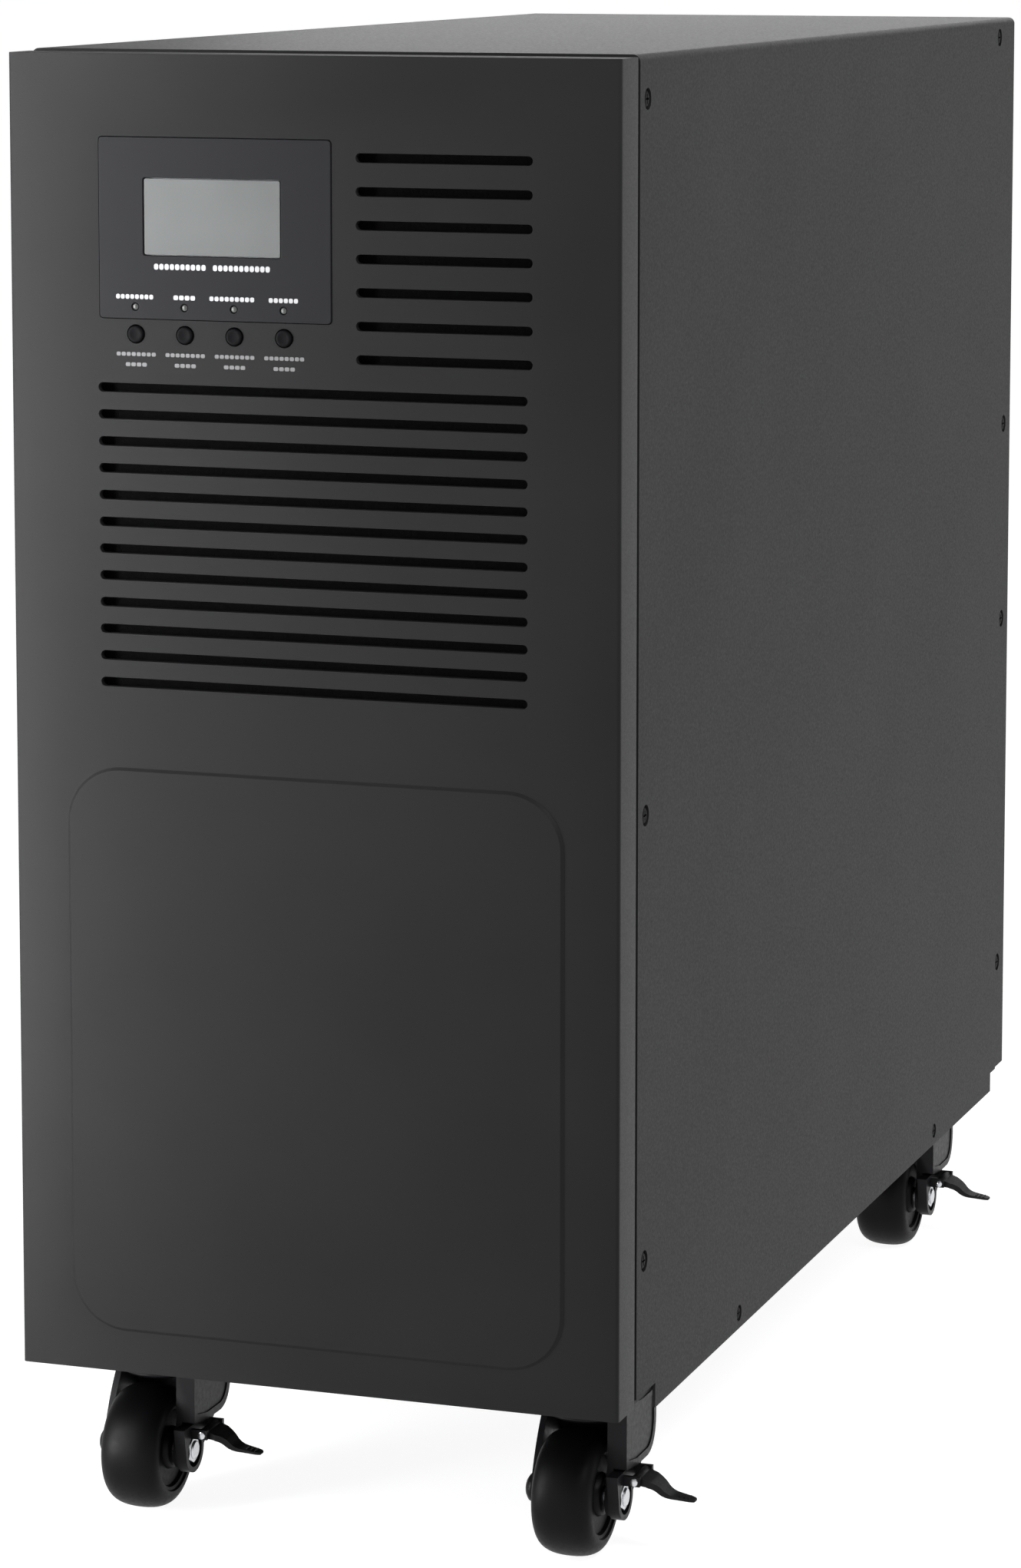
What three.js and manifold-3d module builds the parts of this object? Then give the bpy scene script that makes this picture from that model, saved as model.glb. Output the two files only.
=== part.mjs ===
// Tower uninterruptible power supply on four braked swivel casters.
// Millimetres, +Z up. The front faces -Y, the width runs along X and the depth along Y.
// The case is drawn about x = 0. The finished group is moved so that the origin is on the floor,
// under the middle of the whole outline, which the brake pedals widen on the right.
import * as THREE from 'three';
import { mergeVertices } from 'three/addons/utils/BufferGeometryUtils.js';
import Module from 'manifold-3d';

const wasm = await Module();
wasm.setup();

// ---- driving dimensions ----
const WIDTH = 250;
const DEPTH = 625;
const TOP = 593;
const SKIRT = 63;              // lower edge of the cover's sides
const DECK = 70.5;             // underside of the base tray and of the front bezel
const SHEET = 1.2;             // folded steel thickness
const GAP = 0.3;               // clearance between neighbouring pieces

const BEZEL_DEPTH = 20;
const BEZEL_WALL = 3;
const BEZEL_RIM_DEPTH = 2.2;   // set-in band between the bezel and the cover
const BEZEL_RIM_INSET = 1;
const CREST_HEIGHT = 1;        // how far the raised field stands off the bezel

const WHEEL_RADIUS = 25;
const WHEEL_WIDTH = 25;
const CASTER_TRAIL = 17;       // axle to swivel axis
const CASTER_X = 92;
const CASTER_FRONT_Y = -246;
const CASTER_REAR_Y = 239;
const PEDAL_REACH = 48;        // swivel axis to the pedal's tip

const HALF_WIDTH = WIDTH / 2;
const BEZEL_FRONT = -DEPTH / 2 + CREST_HEIGHT;
const BEZEL_TOP = TOP - 1;
const BEZEL_BACK = BEZEL_FRONT + BEZEL_DEPTH;
const COVER_FRONT = BEZEL_BACK + BEZEL_RIM_DEPTH + GAP;
const REAR = DEPTH / 2;
const REAR_FACE = REAR - 8;    // outer face of the rear panel
const REAR_INNER = REAR_FACE - SHEET;
const INNER_X = HALF_WIDTH - SHEET;
const TRAY_TOP = DECK + 1.5;
const SHELF_Z = 195;           // underside of the shelf that parts the batteries from the power board
const BOARD_TOP = SHELF_Z + 17;

// ---- materials ----
function finish(color, roughness, metalness = 0) {
  return new THREE.MeshStandardMaterial({ color, roughness, metalness });
}

const BLACK_PLASTIC = finish(0x2f2f31, 0.62);
const PAINTED_STEEL = finish(0x333335, 0.55, 0.2);
const ZINC = finish(0xb9bcc0, 0.35, 1);
const GALVANISED = finish(0x9a9da1, 0.45, 0.9);
const CASTER_BLACK = finish(0x101012, 0.5);
const TYRE_BLACK = finish(0x141415, 0.7);
const BUTTON_BLACK = finish(0x0c0c0d, 0.5);
const OVERLAY_GREY = finish(0x3a3b40, 0.4);
const LCD_GREY = finish(0x9ba09f, 0.25);
const CLEAR_WHITE = finish(0xc9cdca, 0.3);
const BOARD_GREEN = finish(0x17472f, 0.5);
const BATTERY_GREY = finish(0x3c4044, 0.6);
const ALUMINIUM = finish(0xb4b7ba, 0.4, 1);
const COPPER_BROWN = finish(0x8a5530, 0.45, 0.6);
const TERMINAL_GREEN = finish(0x1d6b3c, 0.5);
const FAN_BLACK = finish(0x161617, 0.55);

// ---- helpers ----
const model = new THREE.Group();

function addPart(name, geometry, material, parent = model) {
  const mesh = new THREE.Mesh(geometry, material);
  mesh.name = name;
  parent.add(mesh);
  return mesh;
}

// A shape's x and y, and the way it is extruded, laid along the axes of the object.
const PLAN = new THREE.Matrix4();
const ELEVATION = new THREE.Matrix4().makeBasis(
  new THREE.Vector3(1, 0, 0), new THREE.Vector3(0, 0, 1), new THREE.Vector3(0, -1, 0));
const PROFILE = new THREE.Matrix4().makeBasis(
  new THREE.Vector3(0, 1, 0), new THREE.Vector3(0, 0, 1), new THREE.Vector3(1, 0, 0));

function extrude(shape, depth, curveSegments = 3) {
  return new THREE.ExtrudeGeometry(shape, { depth, bevelEnabled: false, curveSegments });
}

// Drawn in x and y, between two heights.
function planPlate(shape, z0, z1, curveSegments) {
  return extrude(shape, z1 - z0, curveSegments).applyMatrix4(PLAN).translate(0, 0, z0);
}

// Drawn in x and z, between two depths.
function frontPlate(shape, y0, y1, curveSegments) {
  return extrude(shape, y1 - y0, curveSegments).applyMatrix4(ELEVATION).translate(0, y1, 0);
}

// Drawn in y and z, between two x.
function sidePlate(shape, x0, x1, curveSegments) {
  return extrude(shape, x1 - x0, curveSegments).applyMatrix4(PROFILE).translate(x0, 0, 0);
}

function box(x0, x1, y0, y1, z0, z1) {
  return new THREE.BoxGeometry(x1 - x0, y1 - y0, z1 - z0)
    .translate((x0 + x1) / 2, (y0 + y1) / 2, (z0 + z1) / 2);
}

function roundedRect(x0, y0, x1, y1, radius, target = new THREE.Shape()) {
  target.moveTo(x0 + radius, y0);
  target.lineTo(x1 - radius, y0);
  target.absarc(x1 - radius, y0 + radius, radius, -Math.PI / 2, 0);
  target.lineTo(x1, y1 - radius);
  target.absarc(x1 - radius, y1 - radius, radius, 0, Math.PI / 2);
  target.lineTo(x0 + radius, y1);
  target.absarc(x0 + radius, y1 - radius, radius, Math.PI / 2, Math.PI);
  target.lineTo(x0, y0 + radius);
  target.absarc(x0 + radius, y0 + radius, radius, Math.PI, Math.PI * 1.5);
  return target;
}

function rectangle(x0, y0, x1, y1, target = new THREE.Path()) {
  target.moveTo(x0, y0);
  target.lineTo(x1, y0);
  target.lineTo(x1, y1);
  target.lineTo(x0, y1);
  return target;
}

function circle(x, y, radius, target = new THREE.Path()) {
  for (let quarter = 0; quarter < 4; quarter += 1) {
    target.absarc(x, y, radius, quarter * Math.PI / 2, (quarter + 1) * Math.PI / 2);
  }
  return target;
}

function cylinderAlong(axis, radius, start, end, segments = 20) {
  const geometry = new THREE.CylinderGeometry(radius, radius, end - start, segments);
  geometry.translate(0, (start + end) / 2, 0);
  if (axis === 'x') {
    geometry.rotateZ(-Math.PI / 2);
  }
  if (axis === 'z') {
    geometry.rotateX(Math.PI / 2);
  }
  return geometry;
}

// A turned piece: each corner is a radius and a place along the y axis.
function turned(corners, segments) {
  const outline = corners.map(([radius, along]) => new THREE.Vector2(radius, along));
  return new THREE.LatheGeometry(outline, segments);
}

function solid(geometry) {
  const plain = geometry.clone();
  plain.deleteAttribute('normal');
  plain.deleteAttribute('uv');
  const merged = mergeVertices(plain, 1e-4);
  const triangles = [];
  for (let i = 0; i < merged.index.count; i += 3) {
    const [a, b, c] = merged.index.array.slice(i, i + 3);
    if (a !== b && b !== c && c !== a) {
      triangles.push(a, b, c);
    }
  }
  return new wasm.Manifold(new wasm.Mesh({
    numProp: 3,
    vertProperties: new Float32Array(merged.attributes.position.array),
    triVerts: new Uint32Array(triangles),
  }));
}

function geometryOf(body) {
  const { vertProperties, triVerts } = body.getMesh();
  const geometry = new THREE.BufferGeometry();
  geometry.setAttribute('position', new THREE.BufferAttribute(new Float32Array(vertProperties), 3));
  geometry.setIndex(new THREE.BufferAttribute(new Uint32Array(triVerts), 1));
  return geometry;
}

function join(...geometries) {
  return geometryOf(geometries.map(solid).reduce((whole, piece) => whole.add(piece)));
}

function cut(geometry, ...tools) {
  return geometryOf(tools.map(solid).reduce((whole, tool) => whole.subtract(tool), solid(geometry)));
}

// ---- front bezel ----
const SLOT_HEIGHT = 3.6;
const LOWER_VENT = { x0: -88, x1: 88, top: 463, pitch: 10.5, count: 12 };
const UPPER_VENT = { x0: 19, x1: 90, top: 553.5, pitch: 12.8, count: 7 };
const CREST = { x0: -104, x1: 104, z0: 86, z1: 315, radius: 24 };

const DISPLAY = { x0: -87, x1: 9, z0: 490, z1: 560, radius: 1.5 };
const LCD = { x0: -68.5, x1: -11.5, z0: 514.5, z1: 544.5 };
const CONTROL_X = [0, 1, 2, 3].map((place) => -72 + place * 20.5);
const LIGHT_Z = 494.6;
const BUTTON_Z = 484;
const BUTTON_RADIUS = 3.3;
const LIGHT_RADIUS = 1.2;

function ventSlots({ x0, x1, top, pitch, count }) {
  const slots = [];
  for (let row = 0; row < count; row += 1) {
    const z = top - row * pitch;
    const outline = roundedRect(x0, z - SLOT_HEIGHT / 2, x1, z + SLOT_HEIGHT / 2, SLOT_HEIGHT / 2 - 0.05);
    slots.push(frontPlate(outline, BEZEL_FRONT - 2, BEZEL_FRONT + BEZEL_WALL + 2, 1));
  }
  return slots;
}

function displayOutline(grow) {
  return roundedRect(DISPLAY.x0 - grow, DISPLAY.z0 - grow, DISPLAY.x1 + grow, DISPLAY.z1 + grow,
    DISPLAY.radius);
}

function frontBezel() {
  const edge = 1.6;
  const plan = new THREE.Shape();
  plan.moveTo(HALF_WIDTH, BEZEL_BACK);
  plan.lineTo(-HALF_WIDTH, BEZEL_BACK);
  plan.lineTo(-HALF_WIDTH, BEZEL_FRONT + edge);
  plan.absarc(-HALF_WIDTH + edge, BEZEL_FRONT + edge, edge, Math.PI, Math.PI * 1.5);
  plan.lineTo(HALF_WIDTH - edge, BEZEL_FRONT);
  plan.absarc(HALF_WIDTH - edge, BEZEL_FRONT + edge, edge, -Math.PI / 2, 0);
  const body = planPlate(plan, DECK, BEZEL_TOP);
  const rimX = HALF_WIDTH - BEZEL_RIM_INSET;
  const rim = box(-rimX, rimX, BEZEL_BACK - 1, BEZEL_BACK + BEZEL_RIM_DEPTH,
    DECK + BEZEL_RIM_INSET, BEZEL_TOP - BEZEL_RIM_INSET);
  const crestOutline = roundedRect(CREST.x0, CREST.z0, CREST.x1, CREST.z1, CREST.radius);
  const crest = frontPlate(crestOutline, BEZEL_FRONT - CREST_HEIGHT, BEZEL_FRONT + 1, 6);
  const wallX = rimX - BEZEL_WALL;
  const pocket = box(-wallX, wallX, BEZEL_FRONT + BEZEL_WALL, COVER_FRONT + 5,
    DECK + BEZEL_RIM_INSET + BEZEL_WALL, BEZEL_TOP - BEZEL_RIM_INSET - BEZEL_WALL);
  const window = frontPlate(displayOutline(GAP), BEZEL_FRONT - 2, BEZEL_FRONT + BEZEL_WALL + 1);
  const buttonHoles = CONTROL_X.map((x) => cylinderAlong('y', BUTTON_RADIUS + 0.4, BEZEL_FRONT - 2,
    BEZEL_FRONT + BEZEL_WALL + 2, 16).translate(x, 0, BUTTON_Z));
  return cut(join(body, rim, crest), pocket, window, ...buttonHoles,
    ...ventSlots(LOWER_VENT), ...ventSlots(UPPER_VENT));
}

function displayFrame() {
  const outline = displayOutline(0);
  outline.holes.push(roundedRect(LCD.x0, LCD.z0, LCD.x1, LCD.z1, 1, new THREE.Path()));
  CONTROL_X.forEach((x) => outline.holes.push(circle(x, LIGHT_Z, LIGHT_RADIUS + GAP)));
  return frontPlate(outline, BEZEL_FRONT - 0.5, BEZEL_FRONT + 2, 2);
}

function lcdWindow() {
  const outline = roundedRect(LCD.x0 + GAP, LCD.z0 + GAP, LCD.x1 - GAP, LCD.z1 - GAP, 0.8);
  return frontPlate(outline, BEZEL_FRONT - 0.1, BEZEL_FRONT + 2);
}

function lcdModule() {
  const margin = 5;
  return box(LCD.x0 - margin, LCD.x1 + margin, BEZEL_FRONT + 2.3, BEZEL_FRONT + 8,
    LCD.z0 - margin, LCD.z1 + margin);
}

function lightPipe() {
  const back = BEZEL_FRONT + 2.4;
  const bar = box(CONTROL_X[0] - 3, CONTROL_X[3] + 3, back, back + 3, LIGHT_Z - 2, LIGHT_Z + 2);
  const pips = CONTROL_X.map((x) => cylinderAlong('y', LIGHT_RADIUS, BEZEL_FRONT - 0.6, back + 1, 10)
    .translate(x, 0, LIGHT_Z));
  return join(bar, ...pips);
}

function buttonCap() {
  const flange = BUTTON_RADIUS + 1.6;
  const back = BEZEL_WALL + GAP;
  return turned([[0, -1], [BUTTON_RADIUS - 0.5, -1], [BUTTON_RADIUS, -0.5], [BUTTON_RADIUS, back],
    [flange, back], [flange, back + 1.2], [0, back + 1.2]], 16);
}

function controlBoard() {
  return box(-92, 12, BEZEL_FRONT + 13, BEZEL_FRONT + 14.6, 472, 562);
}

// ---- case ----
function caseCover() {
  const bend = 3;
  const inner = bend - SHEET;
  const section = new THREE.Shape();
  section.moveTo(-HALF_WIDTH, SKIRT);
  section.lineTo(-INNER_X, SKIRT);
  section.lineTo(-INNER_X, TOP - bend);
  section.absarc(-HALF_WIDTH + bend, TOP - bend, inner, Math.PI, Math.PI / 2, true);
  section.lineTo(HALF_WIDTH - bend, TOP - SHEET);
  section.absarc(HALF_WIDTH - bend, TOP - bend, inner, Math.PI / 2, 0, true);
  section.lineTo(INNER_X, SKIRT);
  section.lineTo(HALF_WIDTH, SKIRT);
  section.lineTo(HALF_WIDTH, TOP - bend);
  section.absarc(HALF_WIDTH - bend, TOP - bend, bend, 0, Math.PI / 2);
  section.lineTo(-HALF_WIDTH + bend, TOP);
  section.absarc(-HALF_WIDTH + bend, TOP - bend, bend, Math.PI / 2, Math.PI);
  const over = HALF_WIDTH + 5;
  const frontNotch = box(-over, over, COVER_FRONT - 5, -DEPTH / 2 + 48, SKIRT - 5, SKIRT + 10);
  const rearNotch = box(-over, over, REAR - 24.5, REAR + 5, SKIRT - 5, SKIRT + 10);
  return cut(frontPlate(section, COVER_FRONT, REAR), frontNotch, rearNotch);
}

function baseTray() {
  const halfWidth = INNER_X - 0.4;
  const flange = 18;
  const section = new THREE.Shape();
  section.moveTo(-halfWidth, DECK);
  section.lineTo(halfWidth, DECK);
  section.lineTo(halfWidth, DECK + flange);
  section.lineTo(halfWidth - SHEET, DECK + flange);
  section.lineTo(halfWidth - SHEET, TRAY_TOP);
  section.lineTo(-halfWidth + SHEET, TRAY_TOP);
  section.lineTo(-halfWidth + SHEET, DECK + flange);
  section.lineTo(-halfWidth, DECK + flange);
  return frontPlate(section, COVER_FRONT + 0.5, REAR_FACE);
}

const FAN = { size: 92, bore: 43, depth: 25, z: 445, x: [-54, 54] };
const BREAKER = { x: 60, z: 335, width: 52, height: 44 };
const CONNECTOR = { x: -60, z: 335, width: 56, height: 26 };
const TERMINALS = { x0: -86, x1: 86, z0: 155, z1: 210 };
const SLOT_CARD = { x0: -100, x1: 14, z0: 525, z1: 567 };
const SERIAL = { x: 46, z: 553, width: 31, height: 12.5 };
const USB = { x: 84, z: 553, width: 12, height: 11 };
const REAR_VENT = { x0: -90, x1: 90, z0: 89, height: 3.4, pitch: 7, count: 6 };
const SHUTDOWN = { x: 46, z: 529, width: 16, height: 9 };

function around({ x, z, width, height }, grow) {
  return [x - width / 2 - grow, z - height / 2 - grow, x + width / 2 + grow, z + height / 2 + grow];
}

function rearPanel() {
  const side = INNER_X - 0.4 - SHEET - GAP;
  const outline = new THREE.Shape();
  outline.moveTo(-side, TRAY_TOP + GAP);
  outline.lineTo(side, TRAY_TOP + GAP);
  outline.lineTo(side, TOP - SHEET - 0.5 - 3);
  outline.lineTo(side - 3, TOP - SHEET - 0.5);
  outline.lineTo(-side + 3, TOP - SHEET - 0.5);
  outline.lineTo(-side, TOP - SHEET - 0.5 - 3);
  const hole = (x0, z0, x1, z1) => outline.holes.push(rectangle(x0, z0, x1, z1));
  FAN.x.forEach((x) => outline.holes.push(circle(x, FAN.z, FAN.bore)));
  [BREAKER, CONNECTOR, SERIAL, USB, SHUTDOWN].forEach((socket) => hole(...around(socket, 0.4)));
  hole(TERMINALS.x0, TERMINALS.z0, TERMINALS.x1, TERMINALS.z1);
  hole(SLOT_CARD.x0 + 6, SLOT_CARD.z0 + 6, SLOT_CARD.x1 - 6, SLOT_CARD.z1 - 6);
  for (let row = 0; row < REAR_VENT.count; row += 1) {
    const low = REAR_VENT.z0 + row * REAR_VENT.pitch;
    hole(REAR_VENT.x0, low, REAR_VENT.x1, low + REAR_VENT.height);
  }
  return frontPlate(outline, REAR_INNER, REAR_FACE);
}

function frontBulkhead() {
  const side = INNER_X - 0.4 - SHEET - GAP;
  const front = COVER_FRONT + 2;
  const pitch = 58;
  const half = 24;
  const airHoles = [];
  for (let column = -1; column <= 1; column += 1) {
    for (let row = 0; row < 4; row += 1) {
      const x = column * pitch;
      const z = 367 + row * pitch;
      airHoles.push(box(x - half, x + half, front - 2, front + 4, z - half, z + half));
    }
  }
  return cut(box(-side, side, front, front + SHEET, TRAY_TOP + GAP, TOP - SHEET - 4), ...airHoles);
}

function midShelf() {
  const halfWidth = 118;
  return box(-halfWidth, halfWidth, -270, 250, SHELF_Z, SHELF_Z + 1.5);
}

// ---- rear fittings ----
function slotCover() {
  const outline = roundedRect(SLOT_CARD.x0, SLOT_CARD.z0, SLOT_CARD.x1, SLOT_CARD.z1, 1.5);
  return frontPlate(outline, REAR_FACE + GAP, REAR_FACE + GAP + 1.5);
}

function socketBlock(socket, inside, proud, recess) {
  const [x0, z0, x1, z1] = around(socket, 0);
  const face = REAR_FACE + proud;
  const body = box(x0, x1, REAR_FACE - inside, face, z0, z1);
  return cut(body, ...recess.map(([left, low, right, high, depth]) => box(socket.x + left, socket.x + right,
    face - depth, face + 2, socket.z + low, socket.z + high)));
}

const TOGGLE_Y = REAR_FACE + 1 - 6.5;

function breakerToggle() {
  const tilt = THREE.MathUtils.degToRad(25);
  const barrel = cylinderAlong('x', 5, -10.5, 10.5, 16);
  const lever = box(-7, 7, 0, 12, -2.3, 2.3);
  return join(barrel, lever).rotateX(tilt);
}

function terminalBlock() {
  const back = REAR_INNER - GAP;
  const low = TERMINALS.z0 + 6;
  const high = TERMINALS.z1 - 6;
  const base = box(-82, 82, back - 26, back - 10, low, high);
  const walls = [];
  for (let i = 0; i <= 6; i += 1) {
    const x = -80.5 + i * (161 / 6);
    walls.push(box(x - 1.2, x + 1.2, back - 12, back - 1, low, high));
  }
  return join(base, ...walls);
}

function terminalCover() {
  const margin = 9;
  const x0 = TERMINALS.x0 - margin;
  const x1 = TERMINALS.x1 + margin;
  const z0 = TERMINALS.z0 - margin;
  const z1 = TERMINALS.z1 + margin;
  const rear = REAR_FACE + GAP;
  const pan = frontPlate(roundedRect(x0, z0, x1, z1, 3), rear, rear + 6.5);
  const hollow = frontPlate(roundedRect(x0 + SHEET, z0 + SHEET, x1 - SHEET, z1 - SHEET, 2),
    rear - 1, rear + 6.5 - SHEET);
  return cut(pan, hollow);
}

// ---- fans ----
const ROTOR_BACK = REAR_INNER - GAP - FAN.depth + 5;

function fanHousing() {
  const rear = REAR_INNER - GAP;
  const front = rear - FAN.depth;
  const half = FAN.size / 2;
  const outline = roundedRect(-half, -half, half, half, 4);
  outline.holes.push(circle(0, 0, FAN.bore));
  const shell = frontPlate(outline, front, rear);
  const mount = cylinderAlong('y', 17, front, front + 4, 20);
  const struts = [0, 1, 2, 3].map((i) => box(15, FAN.bore + 1.5, front, front + 3, -2, 2)
    .rotateY(Math.PI / 4 + i * Math.PI / 2));
  return join(shell, mount, ...struts);
}

function fanRotor() {
  const hub = turned([[0, 0], [17, 0], [18, 1], [18, 17], [16.5, 18], [0, 18]], 16);
  hub.translate(0, ROTOR_BACK, 0);
  const blades = [];
  for (let i = 0; i < 7; i += 1) {
    const blade = new THREE.BoxGeometry(25, 1.8, 21);
    blade.rotateX(THREE.MathUtils.degToRad(55));
    blade.translate(16 + 12.5, ROTOR_BACK + 9, 0);
    blades.push(blade.rotateY(i * Math.PI * 2 / 7));
  }
  return join(hub, ...blades);
}

function fanGuard() {
  const y = REAR_FACE + GAP + 1.2;
  const rings = [17, 31, 44].map((radius) => turned([[radius - 1, y - 1], [radius + 1, y - 1],
    [radius + 1, y + 1], [radius - 1, y + 1], [radius - 1, y - 1]], 20));
  const spokes = [0, 1, 2, 3].map((i) => box(16, 58, y + 0.4, y + 2.4, -1, 1)
    .rotateY(Math.PI / 4 + i * Math.PI / 2));
  return join(...rings, ...spokes);
}

// ---- inside ----
function batteryBlock() {
  const body = box(-32.5, 32.5, -75.5, 75.5, 0, 94);
  const tabs = [-1, 1].map((side) => box(side * 22 - 3, side * 22 + 3, -70, -62, 93, 100));
  return join(body, ...tabs);
}

function batteryTray() {
  const section = new THREE.Shape();
  section.moveTo(-80, 0);
  section.lineTo(80, 0);
  section.lineTo(80, 40);
  section.lineTo(80 - SHEET, 40);
  section.lineTo(80 - SHEET, SHEET);
  section.lineTo(-80 + SHEET, SHEET);
  section.lineTo(-80 + SHEET, 40);
  section.lineTo(-80, 40);
  return frontPlate(section, -230, 120).translate(0, 0, TRAY_TOP + GAP);
}

function powerBoard() {
  return box(-105, 105, -200, 230, BOARD_TOP - 2, BOARD_TOP);
}

function heatSink() {
  const section = new THREE.Shape();
  const fins = 9;
  const pitch = 9;
  const left = -(fins - 1) * pitch / 2 - 1;
  section.moveTo(left, 0);
  section.lineTo(-left, 0);
  for (let i = fins - 1; i >= 0; i -= 1) {
    const x = -(fins - 1) * pitch / 2 + i * pitch;
    section.lineTo(x + 1, 50);
    section.lineTo(x - 1, 50);
    if (i > 0) {
      section.lineTo(x - 1, 6);
      section.lineTo(x - pitch + 1, 6);
    }
  }
  return frontPlate(section, -90, 110).translate(-50, 0, BOARD_TOP + 0.5);
}

function inductor() {
  return turned([[14, 0], [36, 0], [36, 34], [14, 34], [14, 0]], 24).rotateX(Math.PI / 2)
    .translate(60, 60, BOARD_TOP + 0.5);
}

function capacitor(index) {
  return cylinderAlong('z', 17.5, BOARD_TOP + 0.5, BOARD_TOP + 55, 20).translate(50 + index * 40, -70, 0);
}

// ---- casters, drawn round the swivel axis with the floor at z = 0 ----
const AXLE_RADIUS = 3.8;
const LEG_INNER = WHEEL_WIDTH / 2 + 1.5;
const LEG_OUTER = LEG_INNER + 2.6;
const DRUM_RADIUS = 17.5;
const DRUM_Z = 52.8;
const HEAD_TOP = 65;
const CHEEK_X = 22;            // outer side of the cheek that carries the brake
const CHEEK_Z = 35;
const BRAKE_BOSS = 4;          // thickness of the boss round the axle nut
const PEDAL_X = 25;
const PEDAL_Y = -11.5;
const PEDAL_Z = 32.4;
const PEDAL_HALF = 6.9;

function casterPlate() {
  const half = 30;
  const sheet = planPlate(roundedRect(-half, -half, half, half, 5), DECK - GAP - 2.5, DECK - GAP, 2);
  const race = cylinderAlong('z', 20, HEAD_TOP + GAP, DECK - GAP - 1, 16);
  const bore = cylinderAlong('z', 5, HEAD_TOP - 5, DECK + 5, 16);
  return cut(join(sheet, race), bore);
}

function casterFork() {
  const foot = 8;
  const leg = new THREE.Shape();
  leg.moveTo(12, HEAD_TOP - 2);
  leg.lineTo(-3, HEAD_TOP - 2);
  leg.quadraticCurveTo(-20, 46, -CASTER_TRAIL - foot, WHEEL_RADIUS);
  leg.absarc(-CASTER_TRAIL, WHEEL_RADIUS, foot, Math.PI, Math.PI * 2);
  leg.quadraticCurveTo(10, 36, 12, 50);
  leg.holes.push(circle(-CASTER_TRAIL, WHEEL_RADIUS, AXLE_RADIUS + GAP));
  const legs = [[LEG_INNER, LEG_OUTER], [-LEG_OUTER, -LEG_INNER]]
    .map(([x0, x1]) => sidePlate(leg, x0, x1, 2));
  const pinTop = DECK - GAP - 0.5;
  const drum = turned([[0, DRUM_Z], [DRUM_RADIUS, DRUM_Z], [DRUM_RADIUS, HEAD_TOP - 2],
    [DRUM_RADIUS - 2, HEAD_TOP], [4, HEAD_TOP], [4, pinTop], [0, pinTop]], 20).rotateX(Math.PI / 2);
  const cheek = new THREE.Shape();
  cheek.moveTo(-20.6, CHEEK_Z + 2);
  cheek.lineTo(-7, CHEEK_Z);
  cheek.lineTo(7, CHEEK_Z);
  cheek.quadraticCurveTo(17, CHEEK_Z + 1, 18, 48);
  cheek.lineTo(18, 61);
  cheek.lineTo(-20.6, 61);
  const housing = sidePlate(cheek, LEG_INNER, CHEEK_X, 3);
  const boss = new THREE.Shape();
  boss.moveTo(6, CHEEK_Z + 1);
  boss.lineTo(-CASTER_TRAIL - 11.5, CHEEK_Z + 1);
  boss.lineTo(-CASTER_TRAIL - 9.2, WHEEL_RADIUS);
  boss.absarc(-CASTER_TRAIL, WHEEL_RADIUS, 9.2, Math.PI, Math.PI * 2);
  boss.holes.push(circle(-CASTER_TRAIL, WHEEL_RADIUS, 7));
  const hub = sidePlate(boss, LEG_OUTER - 0.5, LEG_OUTER + BRAKE_BOSS, 2);
  const ears = [PEDAL_Y - PEDAL_HALF - 2.3, PEDAL_Y + PEDAL_HALF + 0.3].map((y) => box(LEG_OUTER - 1,
    PEDAL_X + 2.4, y, y + 2, PEDAL_Z - 1.9, PEDAL_Z + 2.2));
  const web = box(-LEG_INNER - 1, LEG_INNER + 1, 5, 8, 42, DRUM_Z + 1);
  return join(...legs, drum, housing, hub, web, ...ears);
}

function casterWheel() {
  const half = WHEEL_WIDTH / 2;
  const bore = AXLE_RADIUS + GAP;
  const crown = [[17.5, half], [21.6, half - 0.8], [23.4, half - 2.8], [24.6, half - 6], [WHEEL_RADIUS, 3]];
  const left = [[bore, -half + 1.5], [16, -half + 1.5], ...crown.map(([radius, x]) => [radius, -x])];
  const right = [...crown].reverse().concat([[16, half - 1.5], [bore, half - 1.5]]);
  return turned([...left, ...right, left[0]], 28).rotateZ(-Math.PI / 2)
    .translate(0, -CASTER_TRAIL, WHEEL_RADIUS);
}

function casterAxle() {
  const reach = LEG_OUTER + GAP;
  const shank = cylinderAlong('x', AXLE_RADIUS, -reach - 2, reach + 2, 16);
  const head = cylinderAlong('x', 6, reach, reach + 4.5, 6);
  const nut = cylinderAlong('x', 6, -reach - 4.5, -reach, 6);
  return join(shank, head, nut).translate(0, -CASTER_TRAIL, WHEEL_RADIUS);
}

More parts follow.
